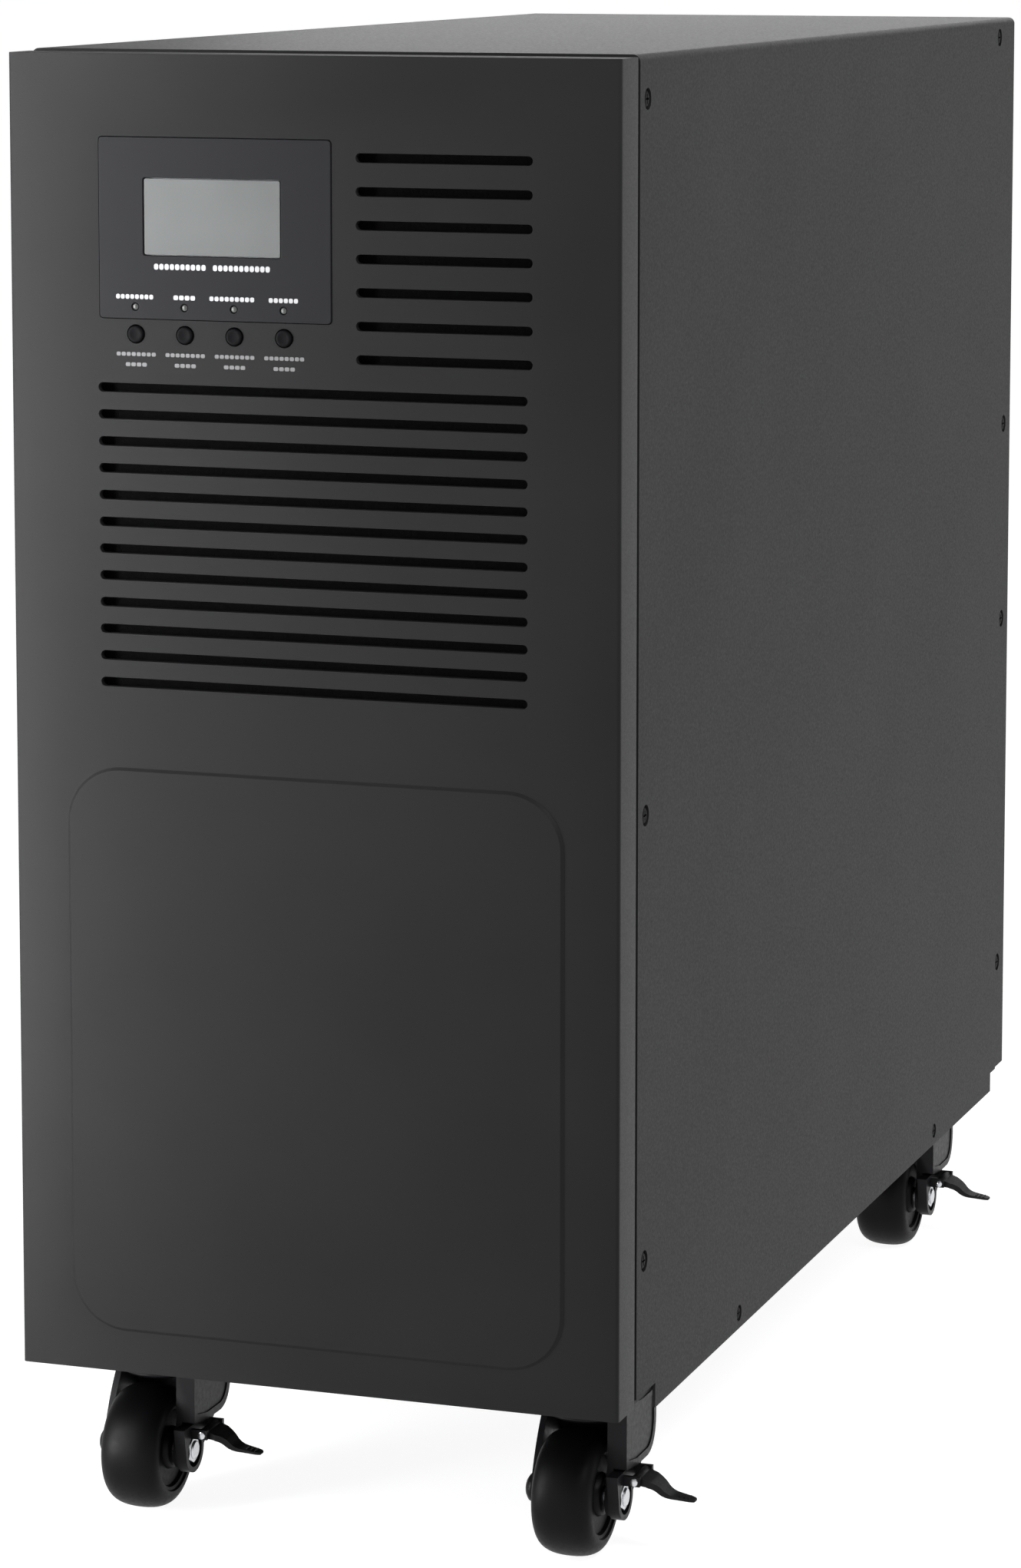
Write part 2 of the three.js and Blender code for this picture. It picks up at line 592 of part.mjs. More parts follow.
// Drawn round its pivot. The blade leaves the pivot level, drops, and levels out again to its tip.
function casterPedal() {
  const barrel = cylinderAlong('y', 2.2, -PEDAL_HALF, PEDAL_HALF, 12);
  const tip = PEDAL_REACH - PEDAL_X;
  const side = new THREE.Shape();
  side.moveTo(0, 1.9);
  side.lineTo(0.4, -1.8);
  side.lineTo(4, -2.2);
  side.quadraticCurveTo(6.8, -3, 8.6, -4.8);
  side.quadraticCurveTo(10.8, -7, 15, -7.2);
  side.lineTo(tip, -8);
  side.lineTo(tip, -7);
  side.lineTo(15.4, -5.9);
  side.quadraticCurveTo(12.4, -5.5, 10.6, -3.6);
  side.quadraticCurveTo(8.4, -0.8, 4.6, 0.2);
  const blade = frontPlate(side, -PEDAL_HALF, PEDAL_HALF, 3);
  const plan = new THREE.Shape();
  plan.moveTo(-4, -PEDAL_HALF);
  plan.lineTo(5, -PEDAL_HALF);
  plan.quadraticCurveTo(9, -4, tip - 3, -2.8);
  plan.quadraticCurveTo(tip, -2.4, tip, 0);
  plan.quadraticCurveTo(tip, 2.4, tip - 3, 2.8);
  plan.quadraticCurveTo(9, 4, 5, PEDAL_HALF);
  plan.lineTo(-4, PEDAL_HALF);
  const trimmed = solid(blade).intersect(solid(planPlate(plan, -20, 10, 3)));
  return geometryOf(solid(barrel).add(trimmed));
}

// ---- assembly ----
addPart('front_bezel', frontBezel(), BLACK_PLASTIC);
addPart('display_frame', displayFrame(), OVERLAY_GREY);
addPart('lcd_window', lcdWindow(), LCD_GREY);
addPart('lcd_module', lcdModule(), LCD_GREY);
addPart('light_pipe', lightPipe(), CLEAR_WHITE);
addPart('control_board', controlBoard(), BOARD_GREEN);
CONTROL_X.forEach((x, index) => {
  addPart(`button_${index + 1}`, buttonCap(), BUTTON_BLACK).position.set(x, BEZEL_FRONT, BUTTON_Z);
});

addPart('case_cover', caseCover(), PAINTED_STEEL);
addPart('base_tray', baseTray(), PAINTED_STEEL);
addPart('rear_panel', rearPanel(), PAINTED_STEEL);
addPart('front_bulkhead', frontBulkhead(), GALVANISED);
addPart('mid_shelf', midShelf(), GALVANISED);

addPart('slot_cover', slotCover(), PAINTED_STEEL);
addPart('serial_port', socketBlock(SERIAL, 12, 4, [[-9, -4, 9, 4, 3]]), GALVANISED);
addPart('usb_port', socketBlock(USB, 14, 2, [[-4, -3.6, 4, 3.6, 3]]), GALVANISED);
addPart('shutdown_terminal', socketBlock(SHUTDOWN, 10, 4, []), TERMINAL_GREEN);
addPart('battery_connector', socketBlock(CONNECTOR, 30, 6,
  [[-23, -8, -3, 8, 3.5], [3, -8, 23, 8, 3.5]]), BLACK_PLASTIC);
addPart('breaker_body', socketBlock(BREAKER, 50, 1, [[-12, -10.5, 12, 10.5, 12.5]]), BLACK_PLASTIC);
addPart('breaker_toggle', breakerToggle(), BUTTON_BLACK).position.set(BREAKER.x, TOGGLE_Y, BREAKER.z);
addPart('terminal_block', terminalBlock(), BLACK_PLASTIC);
addPart('terminal_cover', terminalCover(), PAINTED_STEEL);

FAN.x.forEach((x, index) => {
  const side = ['left', 'right'][index];
  addPart(`fan_housing_${side}`, fanHousing(), FAN_BLACK).position.set(x, 0, FAN.z);
  addPart(`fan_rotor_${side}`, fanRotor(), FAN_BLACK).position.set(x, 0, FAN.z);
  addPart(`fan_guard_${side}`, fanGuard(), ZINC).position.set(x, 0, FAN.z);
});

addPart('battery_tray', batteryTray(), GALVANISED);
[[-38, -150], [38, -150], [-38, 30], [38, 30]].forEach(([x, y], index) => {
  addPart(`battery_${index + 1}`, batteryBlock(), BATTERY_GREY)
    .position.set(x, y, TRAY_TOP + 2 * GAP + SHEET + 0.1);
});
addPart('power_board', powerBoard(), BOARD_GREEN);
addPart('heat_sink', heatSink(), ALUMINIUM);
addPart('inductor', inductor(), COPPER_BROWN);
addPart('capacitor_1', capacitor(0), BATTERY_GREY);
addPart('capacitor_2', capacitor(1), BATTERY_GREY);

[['front_left', -1, CASTER_FRONT_Y], ['front_right', 1, CASTER_FRONT_Y],
  ['rear_left', -1, CASTER_REAR_Y], ['rear_right', 1, CASTER_REAR_Y]].forEach(([place, side, y]) => {
  const caster = new THREE.Group();
  caster.position.set(side * CASTER_X, y, 0);
  model.add(caster);
  addPart(`caster_plate_${place}`, casterPlate(), CASTER_BLACK, caster);
  addPart(`caster_fork_${place}`, casterFork(), CASTER_BLACK, caster);
  addPart(`caster_wheel_${place}`, casterWheel(), TYRE_BLACK, caster);
  addPart(`caster_axle_${place}`, casterAxle(), ZINC, caster);
  addPart(`brake_pedal_${place}`, casterPedal(), CASTER_BLACK, caster)
    .position.set(PEDAL_X, PEDAL_Y, PEDAL_Z);
});

model.position.x = -(CASTER_X + PEDAL_REACH - HALF_WIDTH) / 2;

export default model;
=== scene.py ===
"""Looks of a tower uninterruptible power supply on casters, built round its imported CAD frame.

Outlines and profiles are drawn in millimetres about the middle of the case, and are scaled to
metres and moved to the frame when a piece is made. The front faces -Y, the width runs along X
and the depth along Y.
"""
import math

import bmesh
import bpy
from mathutils import Matrix, Vector


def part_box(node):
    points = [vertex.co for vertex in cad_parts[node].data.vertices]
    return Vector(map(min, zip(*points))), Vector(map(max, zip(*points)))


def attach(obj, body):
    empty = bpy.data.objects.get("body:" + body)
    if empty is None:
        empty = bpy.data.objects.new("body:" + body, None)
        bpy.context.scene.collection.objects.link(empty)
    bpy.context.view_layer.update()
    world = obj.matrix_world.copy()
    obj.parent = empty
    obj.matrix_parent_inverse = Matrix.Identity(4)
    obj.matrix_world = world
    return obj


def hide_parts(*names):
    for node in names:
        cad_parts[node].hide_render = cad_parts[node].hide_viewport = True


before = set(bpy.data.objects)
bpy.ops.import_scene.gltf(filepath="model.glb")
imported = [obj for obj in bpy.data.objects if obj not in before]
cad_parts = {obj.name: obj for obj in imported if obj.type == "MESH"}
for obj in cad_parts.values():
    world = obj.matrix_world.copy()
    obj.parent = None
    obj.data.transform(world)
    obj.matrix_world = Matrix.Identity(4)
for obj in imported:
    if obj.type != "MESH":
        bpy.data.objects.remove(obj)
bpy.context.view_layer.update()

MM = 0.001
PLACES = ("front_left", "front_right", "rear_left", "rear_right")


def case_centre():
    """The case's middle in the frame. The origin is under the middle of the whole outline."""
    low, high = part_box("case_cover")
    return (low[0] + high[0]) / 2 / MM


CENTRE_X = case_centre()


def node_box(node):
    """Lowest and highest corner of a CAD node in millimetres, x counted from the case's middle."""
    low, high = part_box(node)
    offset = Vector((CENTRE_X, 0, 0))
    return Vector(low) / MM - offset, Vector(high) / MM - offset


def node_centre(node):
    low, high = node_box(node)
    return (low + high) / 2


def box_and_middle(node):
    """A node's two corners, and the x and z of its middle."""
    low, high = node_box(node)
    middle = node_centre(node)
    return low, high, middle.x, middle.z


CASE_LOW, CASE_HIGH = node_box("case_cover")
BEZEL_LOW, BEZEL_HIGH = node_box("front_bezel")
HALF_WIDTH = CASE_HIGH.x
TOP = CASE_HIGH.z
SKIRT = CASE_LOW.z
REAR = CASE_HIGH.y
COVER_FRONT = CASE_LOW.y
SHEET = 1.2
CREST_HEIGHT = 1.0
BEZEL_DEPTH = 20.0
BEZEL_WALL = 3.0
RIM_INSET = 1.0
FACE = BEZEL_LOW.y + CREST_HEIGHT
BEZEL_BACK = FACE + BEZEL_DEPTH
REAR_FACE = node_box("rear_panel")[1].y
PAST = 5.0      # how far a cutter runs past the surface it cuts


# ---------------------------------------------------------------- mesh helpers

def arc(cx, cy, radius, start, end, steps):
    """Points on an arc, angles in degrees."""
    points = []
    for i in range(steps + 1):
        angle = math.radians(start + (end - start) * i / steps)
        points.append((cx + radius * math.cos(angle), cy + radius * math.sin(angle)))
    return points


def rounded(x0, y0, x1, y1, radius, steps=6):
    """A rectangle with round corners, anticlockwise."""
    return (arc(x1 - radius, y0 + radius, radius, -90, 0, steps)
            + arc(x1 - radius, y1 - radius, radius, 0, 90, steps)
            + arc(x0 + radius, y1 - radius, radius, 90, 180, steps)
            + arc(x0 + radius, y0 + radius, radius, 180, 270, steps))


def rounded_at(x, y, width, height, radius, steps=6):
    return rounded(x - width / 2, y - height / 2, x + width / 2, y + height / 2, radius, steps)


def curve(start, control, end, steps=8):
    """Points on a quadratic curve."""
    points = []
    for i in range(steps + 1):
        t = i / steps
        points.append(tuple((1 - t) ** 2 * a + 2 * t * (1 - t) * b + t * t * c
                            for a, b, c in zip(start, control, end)))
    return points


def framed(low, high, radius, grow=0.0, steps=6):
    """The rounded outline of a box seen from the front, grown all round."""
    return rounded(low.x - grow, low.z - grow, high.x + grow, high.z + grow, radius, steps)


LAY = {
    "plan": Matrix.Identity(3),
    "front": Matrix(((1, 0, 0), (0, 0, -1), (0, 1, 0))),
    "side": Matrix(((0, 0, 1), (1, 0, 0), (0, 1, 0))),
}


def prism(outline, lay, start, end):
    """An outline extruded: plan goes up Z, front goes along Y and side goes along X."""
    bm = bmesh.new()
    if lay == "front":
        start, end = -end, -start
    lows = [bm.verts.new((x, y, start)) for x, y in outline]
    highs = [bm.verts.new((x, y, end)) for x, y in outline]
    bm.faces.new(list(reversed(lows)))
    bm.faces.new(highs)
    count = len(outline)
    for i in range(count):
        j = (i + 1) % count
        bm.faces.new((lows[i], lows[j], highs[j], highs[i]))
    bmesh.ops.remove_doubles(bm, verts=bm.verts, dist=1e-4)
    bmesh.ops.recalc_face_normals(bm, faces=bm.faces)
    bmesh.ops.transform(bm, matrix=LAY[lay].to_4x4(), verts=bm.verts)
    return bm


def plate_of(low, high, radius, y0, y1, grow=0.0):
    """A plate with a box's rounded front outline, from y0 to y1."""
    return prism(framed(low, high, radius, grow), "front", y0, y1)


def block(x0, x1, y0, y1, z0, z1):
    return prism([(x0, y0), (x1, y0), (x1, y1), (x0, y1)], "plan", z0, z1)


def around(radius, count, start=0.0):
    """Points spaced evenly on a circle, the first at start degrees."""
    angles = [math.radians(start) + 2 * math.pi * i / count for i in range(count)]
    return [(radius * math.cos(angle), radius * math.sin(angle)) for angle in angles]


AXIS_TURN = {
    "x": Matrix.Rotation(math.radians(90), 3, "Y"),
    "y": Matrix.Rotation(math.radians(-90), 3, "X"),
    "z": Matrix.Identity(3),
    "-x": Matrix.Rotation(math.radians(-90), 3, "Y"),
    "-y": Matrix.Rotation(math.radians(90), 3, "X"),
    "-z": Matrix.Rotation(math.radians(180), 3, "X"),
}


def turned(profile, axis="z", segments=48, centre=(0, 0, 0)):
    """A profile of (radius, height) pairs spun round an axis.

    It starts and ends on the axis, or else it is closed to a ring.
    """
    bm = bmesh.new()
    rings = []
    for radius, height in profile:
        if radius < 1e-6:
            rings.append([bm.verts.new((0, 0, height))])
            continue
        rings.append([bm.verts.new((x, y, height)) for x, y in around(radius, segments)])
    pairs = list(zip(rings, rings[1:]))
    if len(rings[0]) > 1 and len(rings[-1]) > 1:
        pairs.append((rings[-1], rings[0]))
    for lower, upper in pairs:
        for i in range(segments):
            j = (i + 1) % segments
            corners = [lower[i % len(lower)], lower[j % len(lower)],
                       upper[j % len(upper)], upper[i % len(upper)]]
            corners = list(dict.fromkeys(corners))
            if len(corners) > 2:
                bm.faces.new(corners)
    bmesh.ops.recalc_face_normals(bm, faces=bm.faces)
    bmesh.ops.transform(bm, matrix=AXIS_TURN[axis].to_4x4(), verts=bm.verts)
    bmesh.ops.translate(bm, vec=Vector(centre), verts=bm.verts)
    return bm


def disc(radius, axis, centre, start, end, segments=32):
    return turned([(0, start), (radius, start), (radius, end), (0, end)], axis, segments, centre)


def ring(radius, wire, axis, centre, segments=64, sides=10):
    """A round wire bent to a circle."""
    return turned([(radius + out, rise) for out, rise in around(wire, sides)], axis, segments, centre)


def rod(start, end, radius, sides=12):
    """A round bar between two points."""
    start = Vector(start)
    along = Vector(end) - start
    bm = turned([(0, 0), (radius, 0), (radius, along.length), (0, along.length)], "z", sides)
    aim = along.to_track_quat("Z", "Y").to_matrix().to_4x4()
    bmesh.ops.transform(bm, matrix=aim, verts=bm.verts)
    return moved(bm, *start)


def mesh_of(name, bm):
    mesh = bpy.data.meshes.new(name)
    bm.to_mesh(mesh)
    bm.free()
    return mesh


def placed(name, data):
    """A new object in the scene."""
    obj = bpy.data.objects.new(name, data)
    bpy.context.scene.collection.objects.link(obj)
    return obj


def merged(*parts):
    """Several meshes in one, without joining their surfaces."""
    whole = bmesh.new()
    for part in parts:
        mesh = mesh_of("part", part)
        whole.from_mesh(mesh)
        bpy.data.meshes.remove(mesh)
    return whole


def moved(bm, x=0.0, y=0.0, z=0.0):
    bmesh.ops.translate(bm, vec=Vector((x, y, z)), verts=bm.verts)
    return bm


def spun(bm, degrees, axis):
    turn = Matrix.Rotation(math.radians(degrees), 3, axis)
    bmesh.ops.rotate(bm, cent=(0, 0, 0), matrix=turn, verts=bm.verts)
    return bm


SLIVER = 0.002      # edges shorter than this are left over from a boolean


def combine(target, tool, operation):
    """The exact boolean of two meshes. The tool's own parts must not overlap each other."""
    first = placed("boolean_target", mesh_of("boolean_target", target))
    second = placed("boolean_tool", mesh_of("boolean_tool", tool))
    modifier = first.modifiers.new("boolean", "BOOLEAN")
    modifier.operation = operation
    modifier.solver = "EXACT"
    modifier.object = second
    graph = bpy.context.evaluated_depsgraph_get()
    mesh = bpy.data.meshes.new_from_object(first.evaluated_get(graph), depsgraph=graph)
    result = bmesh.new()
    result.from_mesh(mesh)
    for obj in (first, second):
        data = obj.data
        bpy.data.objects.remove(obj)
        bpy.data.meshes.remove(data)
    bpy.data.meshes.remove(mesh)
    bmesh.ops.dissolve_degenerate(result, dist=SLIVER, edges=result.edges)
    if not result.faces:
        raise ValueError(f"the {operation} left nothing")
    return result


def cut(target, *tools):
    return combine(target, merged(*tools), "DIFFERENCE")


def fuse(target, *tools):
    for tool in tools:
        target = combine(target, tool, "UNION")
    return target


def common(target, tool):
    return combine(target, tool, "INTERSECT")


def pan_head(radius, height):
    """A pan head with a cross recess, standing on z = 0."""
    dome = turned([(0, -0.4), (radius, -0.4), (radius, height * 0.3), (radius * 0.94, height * 0.6),
                   (radius * 0.78, height * 0.84), (radius * 0.5, height * 0.96), (0, height)], "z", 28)
    arm = radius * 0.56
    half = radius * 0.11
    floor = height * 0.25
    dome = cut(dome, block(-arm, arm, -half, half, floor, height + 1))
    return cut(dome, block(-half, half, -arm, arm, floor, height + 1))


def hex_head(radius, height, flange=0.0):
    """A hexagon with a chamfered top, on a round flange where one is given."""
    hexagon = turned([(0, -0.3), (radius, -0.3), (radius, height), (0, height)], "z", 6)
    dome = turned([(0, -1), (radius * 1.2, -1), (radius * 1.2, height - radius * 0.18),
                   (radius * 0.86, height), (0, height)], "z", 36)
    head = common(hexagon, dome)
    if flange:
        skirt = [(0, -0.3), (flange, -0.3), (flange, 0.7), (flange - 0.5, 1.1), (0, 1.1)]
        head = fuse(head, turned(skirt, "z", 36))
    return head


def set_at(bm, facing, *points):
    """Copies of a mesh drawn along +Z, turned to face an axis and set at each point."""
    copies = []
    for point in points:
        copy = bm.copy()
        bmesh.ops.transform(copy, matrix=AXIS_TURN[facing].to_4x4(), verts=copy.verts)
        copies.append(moved(copy, *point))
    bm.free()
    return merged(*copies)


def soften(obj, width, angle, harden):
    """Rounds the edges of an object that are sharper than the angle."""
    modifier = obj.modifiers.new("soft_edges", "BEVEL")
    modifier.width = width * MM
    modifier.segments = 2
    modifier.limit_method = "ANGLE"
    modifier.angle_limit = math.radians(angle)
    modifier.harden_normals = harden


def piece(name, bm, material, slot, body="root", replaces=(), bevel=0.0, smooth=35):
    """Makes a finished piece from a mesh in millimetres. bevel is the width of its softened edges."""
    mesh = mesh_of(name, bm)
    mesh.transform(Matrix.Translation((CENTRE_X * MM, 0, 0)) @ Matrix.Scale(MM, 4))
    mesh.polygons.foreach_set("use_smooth", [True] * len(mesh.polygons))
    mesh.set_sharp_from_angle(angle=math.radians(smooth))
    mesh.materials.append(material)
    obj = placed(name, mesh)
    if bevel:
        soften(obj, bevel, smooth, harden=True)
    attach(obj, body)
    for node in replaces:
        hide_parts(node)
    return obj


def sheen_painted_sides(obj, material):
    """Gives the faces that look left or right a second material that reflects more strongly than the
    front's: a painted sheen that makes those sides look lighter.
    """
    sideways = 0.8
    obj.data.materials.append(material)
    for face in obj.data.polygons:
        if abs(face.normal.x) > sideways:
            face.material_index = 1


def dress(node, material, bevel=0.0):
    """Gives a CAD node that stays visible its material, and softened edges."""
    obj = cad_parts[node]
    obj.data.materials.clear()
    obj.data.materials.append(material)
    if bevel:
        soften(obj, bevel, angle=40, harden=False)


# ---------------------------------------------------------------- materials

def fill(node, values):
    """Sets sockets of a node to constants."""
    for socket, value in values.items():
        node.inputs[socket].default_value = value


def shader(name, colour, roughness, metallic=0.0, specular=0.5):
    material = bpy.data.materials.new(name)
    material.use_nodes = True
    surface = material.node_tree.nodes["Principled BSDF"]
    fill(surface, {"Base Color": (*colour, 1), "Roughness": roughness, "Metallic": metallic,
                   "Specular IOR Level": specular})
    return material, material.node_tree, surface


def noise(tree, scale, detail=2.0, roughness=0.5, stretch=(1, 1, 1)):
    """Noise in the piece's own space; scale is in features per metre."""
    place = tree.nodes.new("ShaderNodeTexCoord")
    mapping = tree.nodes.new("ShaderNodeMapping")
    fill(mapping, {"Scale": stretch})
    texture = tree.nodes.new("ShaderNodeTexNoise")
    fill(texture, {"Scale": scale, "Detail": detail, "Roughness": roughness})
    tree.links.new(place.outputs["Object"], mapping.inputs["Vector"])
    tree.links.new(mapping.outputs["Vector"], texture.inputs["Vector"])
    return texture.outputs["Fac"]


def ranged(tree, value, low, high, start=0.3, end=0.7):
    node = tree.nodes.new("ShaderNodeMapRange")
    fill(node, {"From Min": start, "From Max": end, "To Min": low, "To Max": high})
    tree.links.new(value, node.inputs["Value"])
    return node.outputs["Result"]


def tinted(tree, surface, value, dark, light):
    """Colours a surface from dark to light by a value."""
    ramp = tree.nodes.new("ShaderNodeValToRGB")
    for element, position, colour in zip(ramp.color_ramp.elements, (0.3, 0.7), (dark, light)):
        element.position = position
        element.color = (*colour, 1)
    tree.links.new(value, ramp.inputs["Fac"])
    tree.links.new(ramp.outputs["Color"], surface.inputs["Base Color"])


def bumped(tree, surface, height, strength, distance_mm):
    node = tree.nodes.new("ShaderNodeBump")
    fill(node, {"Strength": strength, "Distance": distance_mm * MM})
    tree.links.new(height, node.inputs["Height"])
    tree.links.new(node.outputs["Normal"], surface.inputs["Normal"])


def shade(colour, factor):
    return tuple(channel * factor for channel in colour)


def textured(name, colour, roughness, grain, bump, grain_mm, variation=0.12, specular=0.5):
    """A surface with a slow change of tone, and a fine grain that changes its gloss and relief.

    grain is in features per metre, bump is the strength of the relief and grain_mm its depth.
    """
    material, tree, surface = shader(name, colour, roughness, specular=specular)
    slow = noise(tree, 9.0, 3.0)
    tinted(tree, surface, slow, shade(colour, 1 - variation), shade(colour, 1 + variation))
    fine = noise(tree, grain, 3.0, 0.6)
    gloss = ranged(tree, fine, roughness - 0.06, roughness + 0.08)
    tree.links.new(gloss, surface.inputs["Roughness"])
    bumped(tree, surface, fine, bump, grain_mm)
    return material


def brushed(name, colour, roughness, stretch=(1, 1, 30)):
    """Bare metal with streaks across the axis that is stretched."""
    material, tree, surface = shader(name, colour, roughness, metallic=1.0)
    streaks = noise(tree, 120.0, 4.0, 0.6, stretch)
    tinted(tree, surface, streaks, shade(colour, 0.82), shade(colour, 1.1))
    gloss = ranged(tree, streaks, roughness - 0.08, roughness + 0.1)
    tree.links.new(gloss, surface.inputs["Roughness"])
    bumped(tree, surface, streaks, 0.12, 0.05)
    return material


CHARCOAL = (0.0113, 0.0113, 0.0118)
MOULDED = textured("moulded_charcoal", CHARCOAL, 0.50, 1400, 0.30, 0.10, specular=0.08)
# The same charcoal with a stronger reflection, for the bezel's side faces only: a painted sheen that
# lightens those sides.
MOULDED_SHEEN_SIDE = textured("moulded_charcoal_painted_sheen_side", CHARCOAL, 0.50, 1400, 0.30, 0.10, specular=0.27)
POWDER = textured("powder_coat_charcoal", (0.0145, 0.0145, 0.015), 0.44, 900, 0.22, 0.10, specular=0.047)
OVERLAY = textured("overlay_slate", (0.0112, 0.0114, 0.0128), 0.46, 2200, 0.08, 0.04,
                   variation=0.05, specular=0.08)
BUTTON = textured("button_black", (0.002, 0.002, 0.0025), 0.5, 1800, 0.08, 0.04, specular=0.05)
# Near-black, for pads and frames set behind openings: painted shade for the dark inside of the case.
CAVITY_SHADE = textured("painted_cavity_shade", (0.002, 0.002, 0.002), 0.9, 700, 0.8, 0.6, specular=0.05)
SCREW = textured("screw_black_zinc", (0.0022, 0.0022, 0.0025), 0.5, 900, 0.10, 0.06, specular=0.06)
ZINC = brushed("zinc_plate", (0.60, 0.61, 0.63), 0.28)
GALVANISED = brushed("galvanised_sheet", (0.46, 0.47, 0.49), 0.40)
CASTER_PAINT = textured("caster_black_coat", (0.005, 0.005, 0.006), 0.40, 500, 0.12, 0.10, specular=0.12)
TREAD = textured("wheel_nylon", (0.0020, 0.0020, 0.0024), 0.46, 700, 0.15, 0.12, specular=0.09)
PEDAL = textured("pedal_nylon", (0.0035, 0.0035, 0.004), 0.42, 1200, 0.14, 0.08, specular=0.15)
NYLON = textured("black_nylon", (0.010, 0.010, 0.011), 0.45, 1300, 0.2, 0.08)
FAN_PLASTIC = textured("fan_black", (0.011, 0.011, 0.012), 0.4, 900, 0.1, 0.06)
GREEN = textured("terminal_green", (0.02, 0.15, 0.05), 0.42, 900, 0.1, 0.05)
BOARD = textured("solder_mask_green", (0.012, 0.085, 0.04), 0.35, 600, 0.2, 0.1)
BATTERY = textured("battery_case_grey", (0.045, 0.05, 0.055), 0.5, 900, 0.2, 0.1)
COPPER = brushed("lacquered_copper", (0.45, 0.2, 0.1), 0.35)
ALUMINIUM = brushed("extruded_aluminium", (0.62, 0.63, 0.64), 0.38, (1, 30, 1))
LEGEND = textured("legend_ink", (0.32, 0.32, 0.33), 0.5, 1500, 0.05, 0.02)
CAPTION = textured("caption_ink", (0.105, 0.105, 0.108), 0.5, 1500, 0.05, 0.02)


def lcd_material():
    """An unlit grey display seen through its lens, with a slow change of tone."""
    material, tree, surface = shader("lcd_lens", (0.100, 0.104, 0.104), 0.4, specular=0.12)
    slow = noise(tree, 30.0, 2.0)
    tinted(tree, surface, slow, (0.095, 0.099, 0.099), (0.105, 0.109, 0.109))
    return material


def light_material():
    """Clear plastic that looks dark grey while the lights are off."""
    material, tree, surface = shader("light_pipe_clear", (0.04, 0.042, 0.04), 0.3)
    tinted(tree, surface, noise(tree, 800.0), (0.035, 0.037, 0.035), (0.05, 0.053, 0.05))
    return material


LCD = lcd_material()
LIGHT_PIPE = light_material()

# ---------------------------------------------------------------- camera, light and floor

CAMERA_AZIMUTH = 19.15
CAMERA_ELEVATION = 6.94
CAMERA_DISTANCE = 2.1672
CAMERA_TARGET = Vector((CENTRE_X * MM - 0.0105, -0.0475, 0.3908))
CAMERA_LENS = 114.6
CAMERA_SHIFT = -0.18
FLOOR_RADIUS = 60.0
FLOOR_GLOW = 0.91


def make_camera():
    azimuth = math.radians(CAMERA_AZIMUTH)
    elevation = math.radians(CAMERA_ELEVATION)
    level = math.cos(elevation)
    back = Vector((math.sin(azimuth) * level, -math.cos(azimuth) * level, math.sin(elevation)))
    data = bpy.data.cameras.new("camera")
    data.lens = CAMERA_LENS
    data.shift_y = CAMERA_SHIFT
    camera = placed("camera", data)
    camera.location = CAMERA_TARGET + back * CAMERA_DISTANCE
    camera.rotation_euler = (-back).to_track_quat("-Z", "Y").to_euler()
    bpy.context.scene.camera = camera


def area_light(name, location, target, size, power, spread=180):
    data = bpy.data.lights.new(name, "AREA")
    data.shape = "RECTANGLE"
    data.size, data.size_y = size
    data.energy = power
    data.spread = math.radians(spread)
    light = placed(name, data)
    light.location = location
    aim = Vector(target) - Vector(location)
    light.rotation_euler = aim.to_track_quat("-Z", "Y").to_euler()
    light.visible_camera = False


def make_world():
    """A studio with a bright band round its horizon and a dimmer ceiling."""
    world = bpy.data.worlds.new("studio")
    world.use_nodes = True
    tree = world.node_tree
    background = tree.nodes["Background"]
    fill(background, {"Color": (1, 1, 1, 1)})
    direction = tree.nodes.new("ShaderNodeTexCoord")
    split = tree.nodes.new("ShaderNodeSeparateXYZ")
    tree.links.new(direction.outputs["Generated"], split.inputs["Vector"])
    horizon, ceiling = 1.0, 0.25
    fade_start, fade_end = 0.16, 0.40
    strength = ranged(tree, split.outputs["Z"], horizon, ceiling, fade_start, fade_end)
    tree.links.new(strength, background.inputs["Strength"])
    bpy.context.scene.world = world
    bpy.context.scene.view_settings.view_transform = "Standard"


def make_floor():
    """Plain white paper that gives off a little light of its own, as an evenly lit sweep does."""
    bm = bmesh.new()
    bmesh.ops.create_circle(bm, cap_ends=True, radius=FLOOR_RADIUS, segments=96)
    mesh = mesh_of("studio_floor", bm)
    material, tree, surface = shader("studio_paper", (0.30, 0.30, 0.30), 0.95, specular=0.0)
    fill(surface, {"Emission Color": (1, 1, 1, 1), "Emission Strength": FLOOR_GLOW})
    mesh.materials.append(material)
    placed("studio_floor", mesh)


def make_lights():
    area_light("strip_left", (-0.385, -0.595, 0.33), (0.11, 0.323, 0.33), (0.12, 1.5), 7.6, 100)
    area_light("top_soft", (0.3, 0.4, 2.4), (0, 0, 0.3), (2.0, 2.0), 14)
    area_light("side_high", (0.80, -0.75, 1.05), (0.12, -0.25, 0.54), (0.3, 0.3), 8)
    area_light("back_sheen", (-0.25, 1.7, 0.95), (0.05, 0.1, 0.593), (1.2, 0.35), 3.5)


# ---------------------------------------------------------------- front

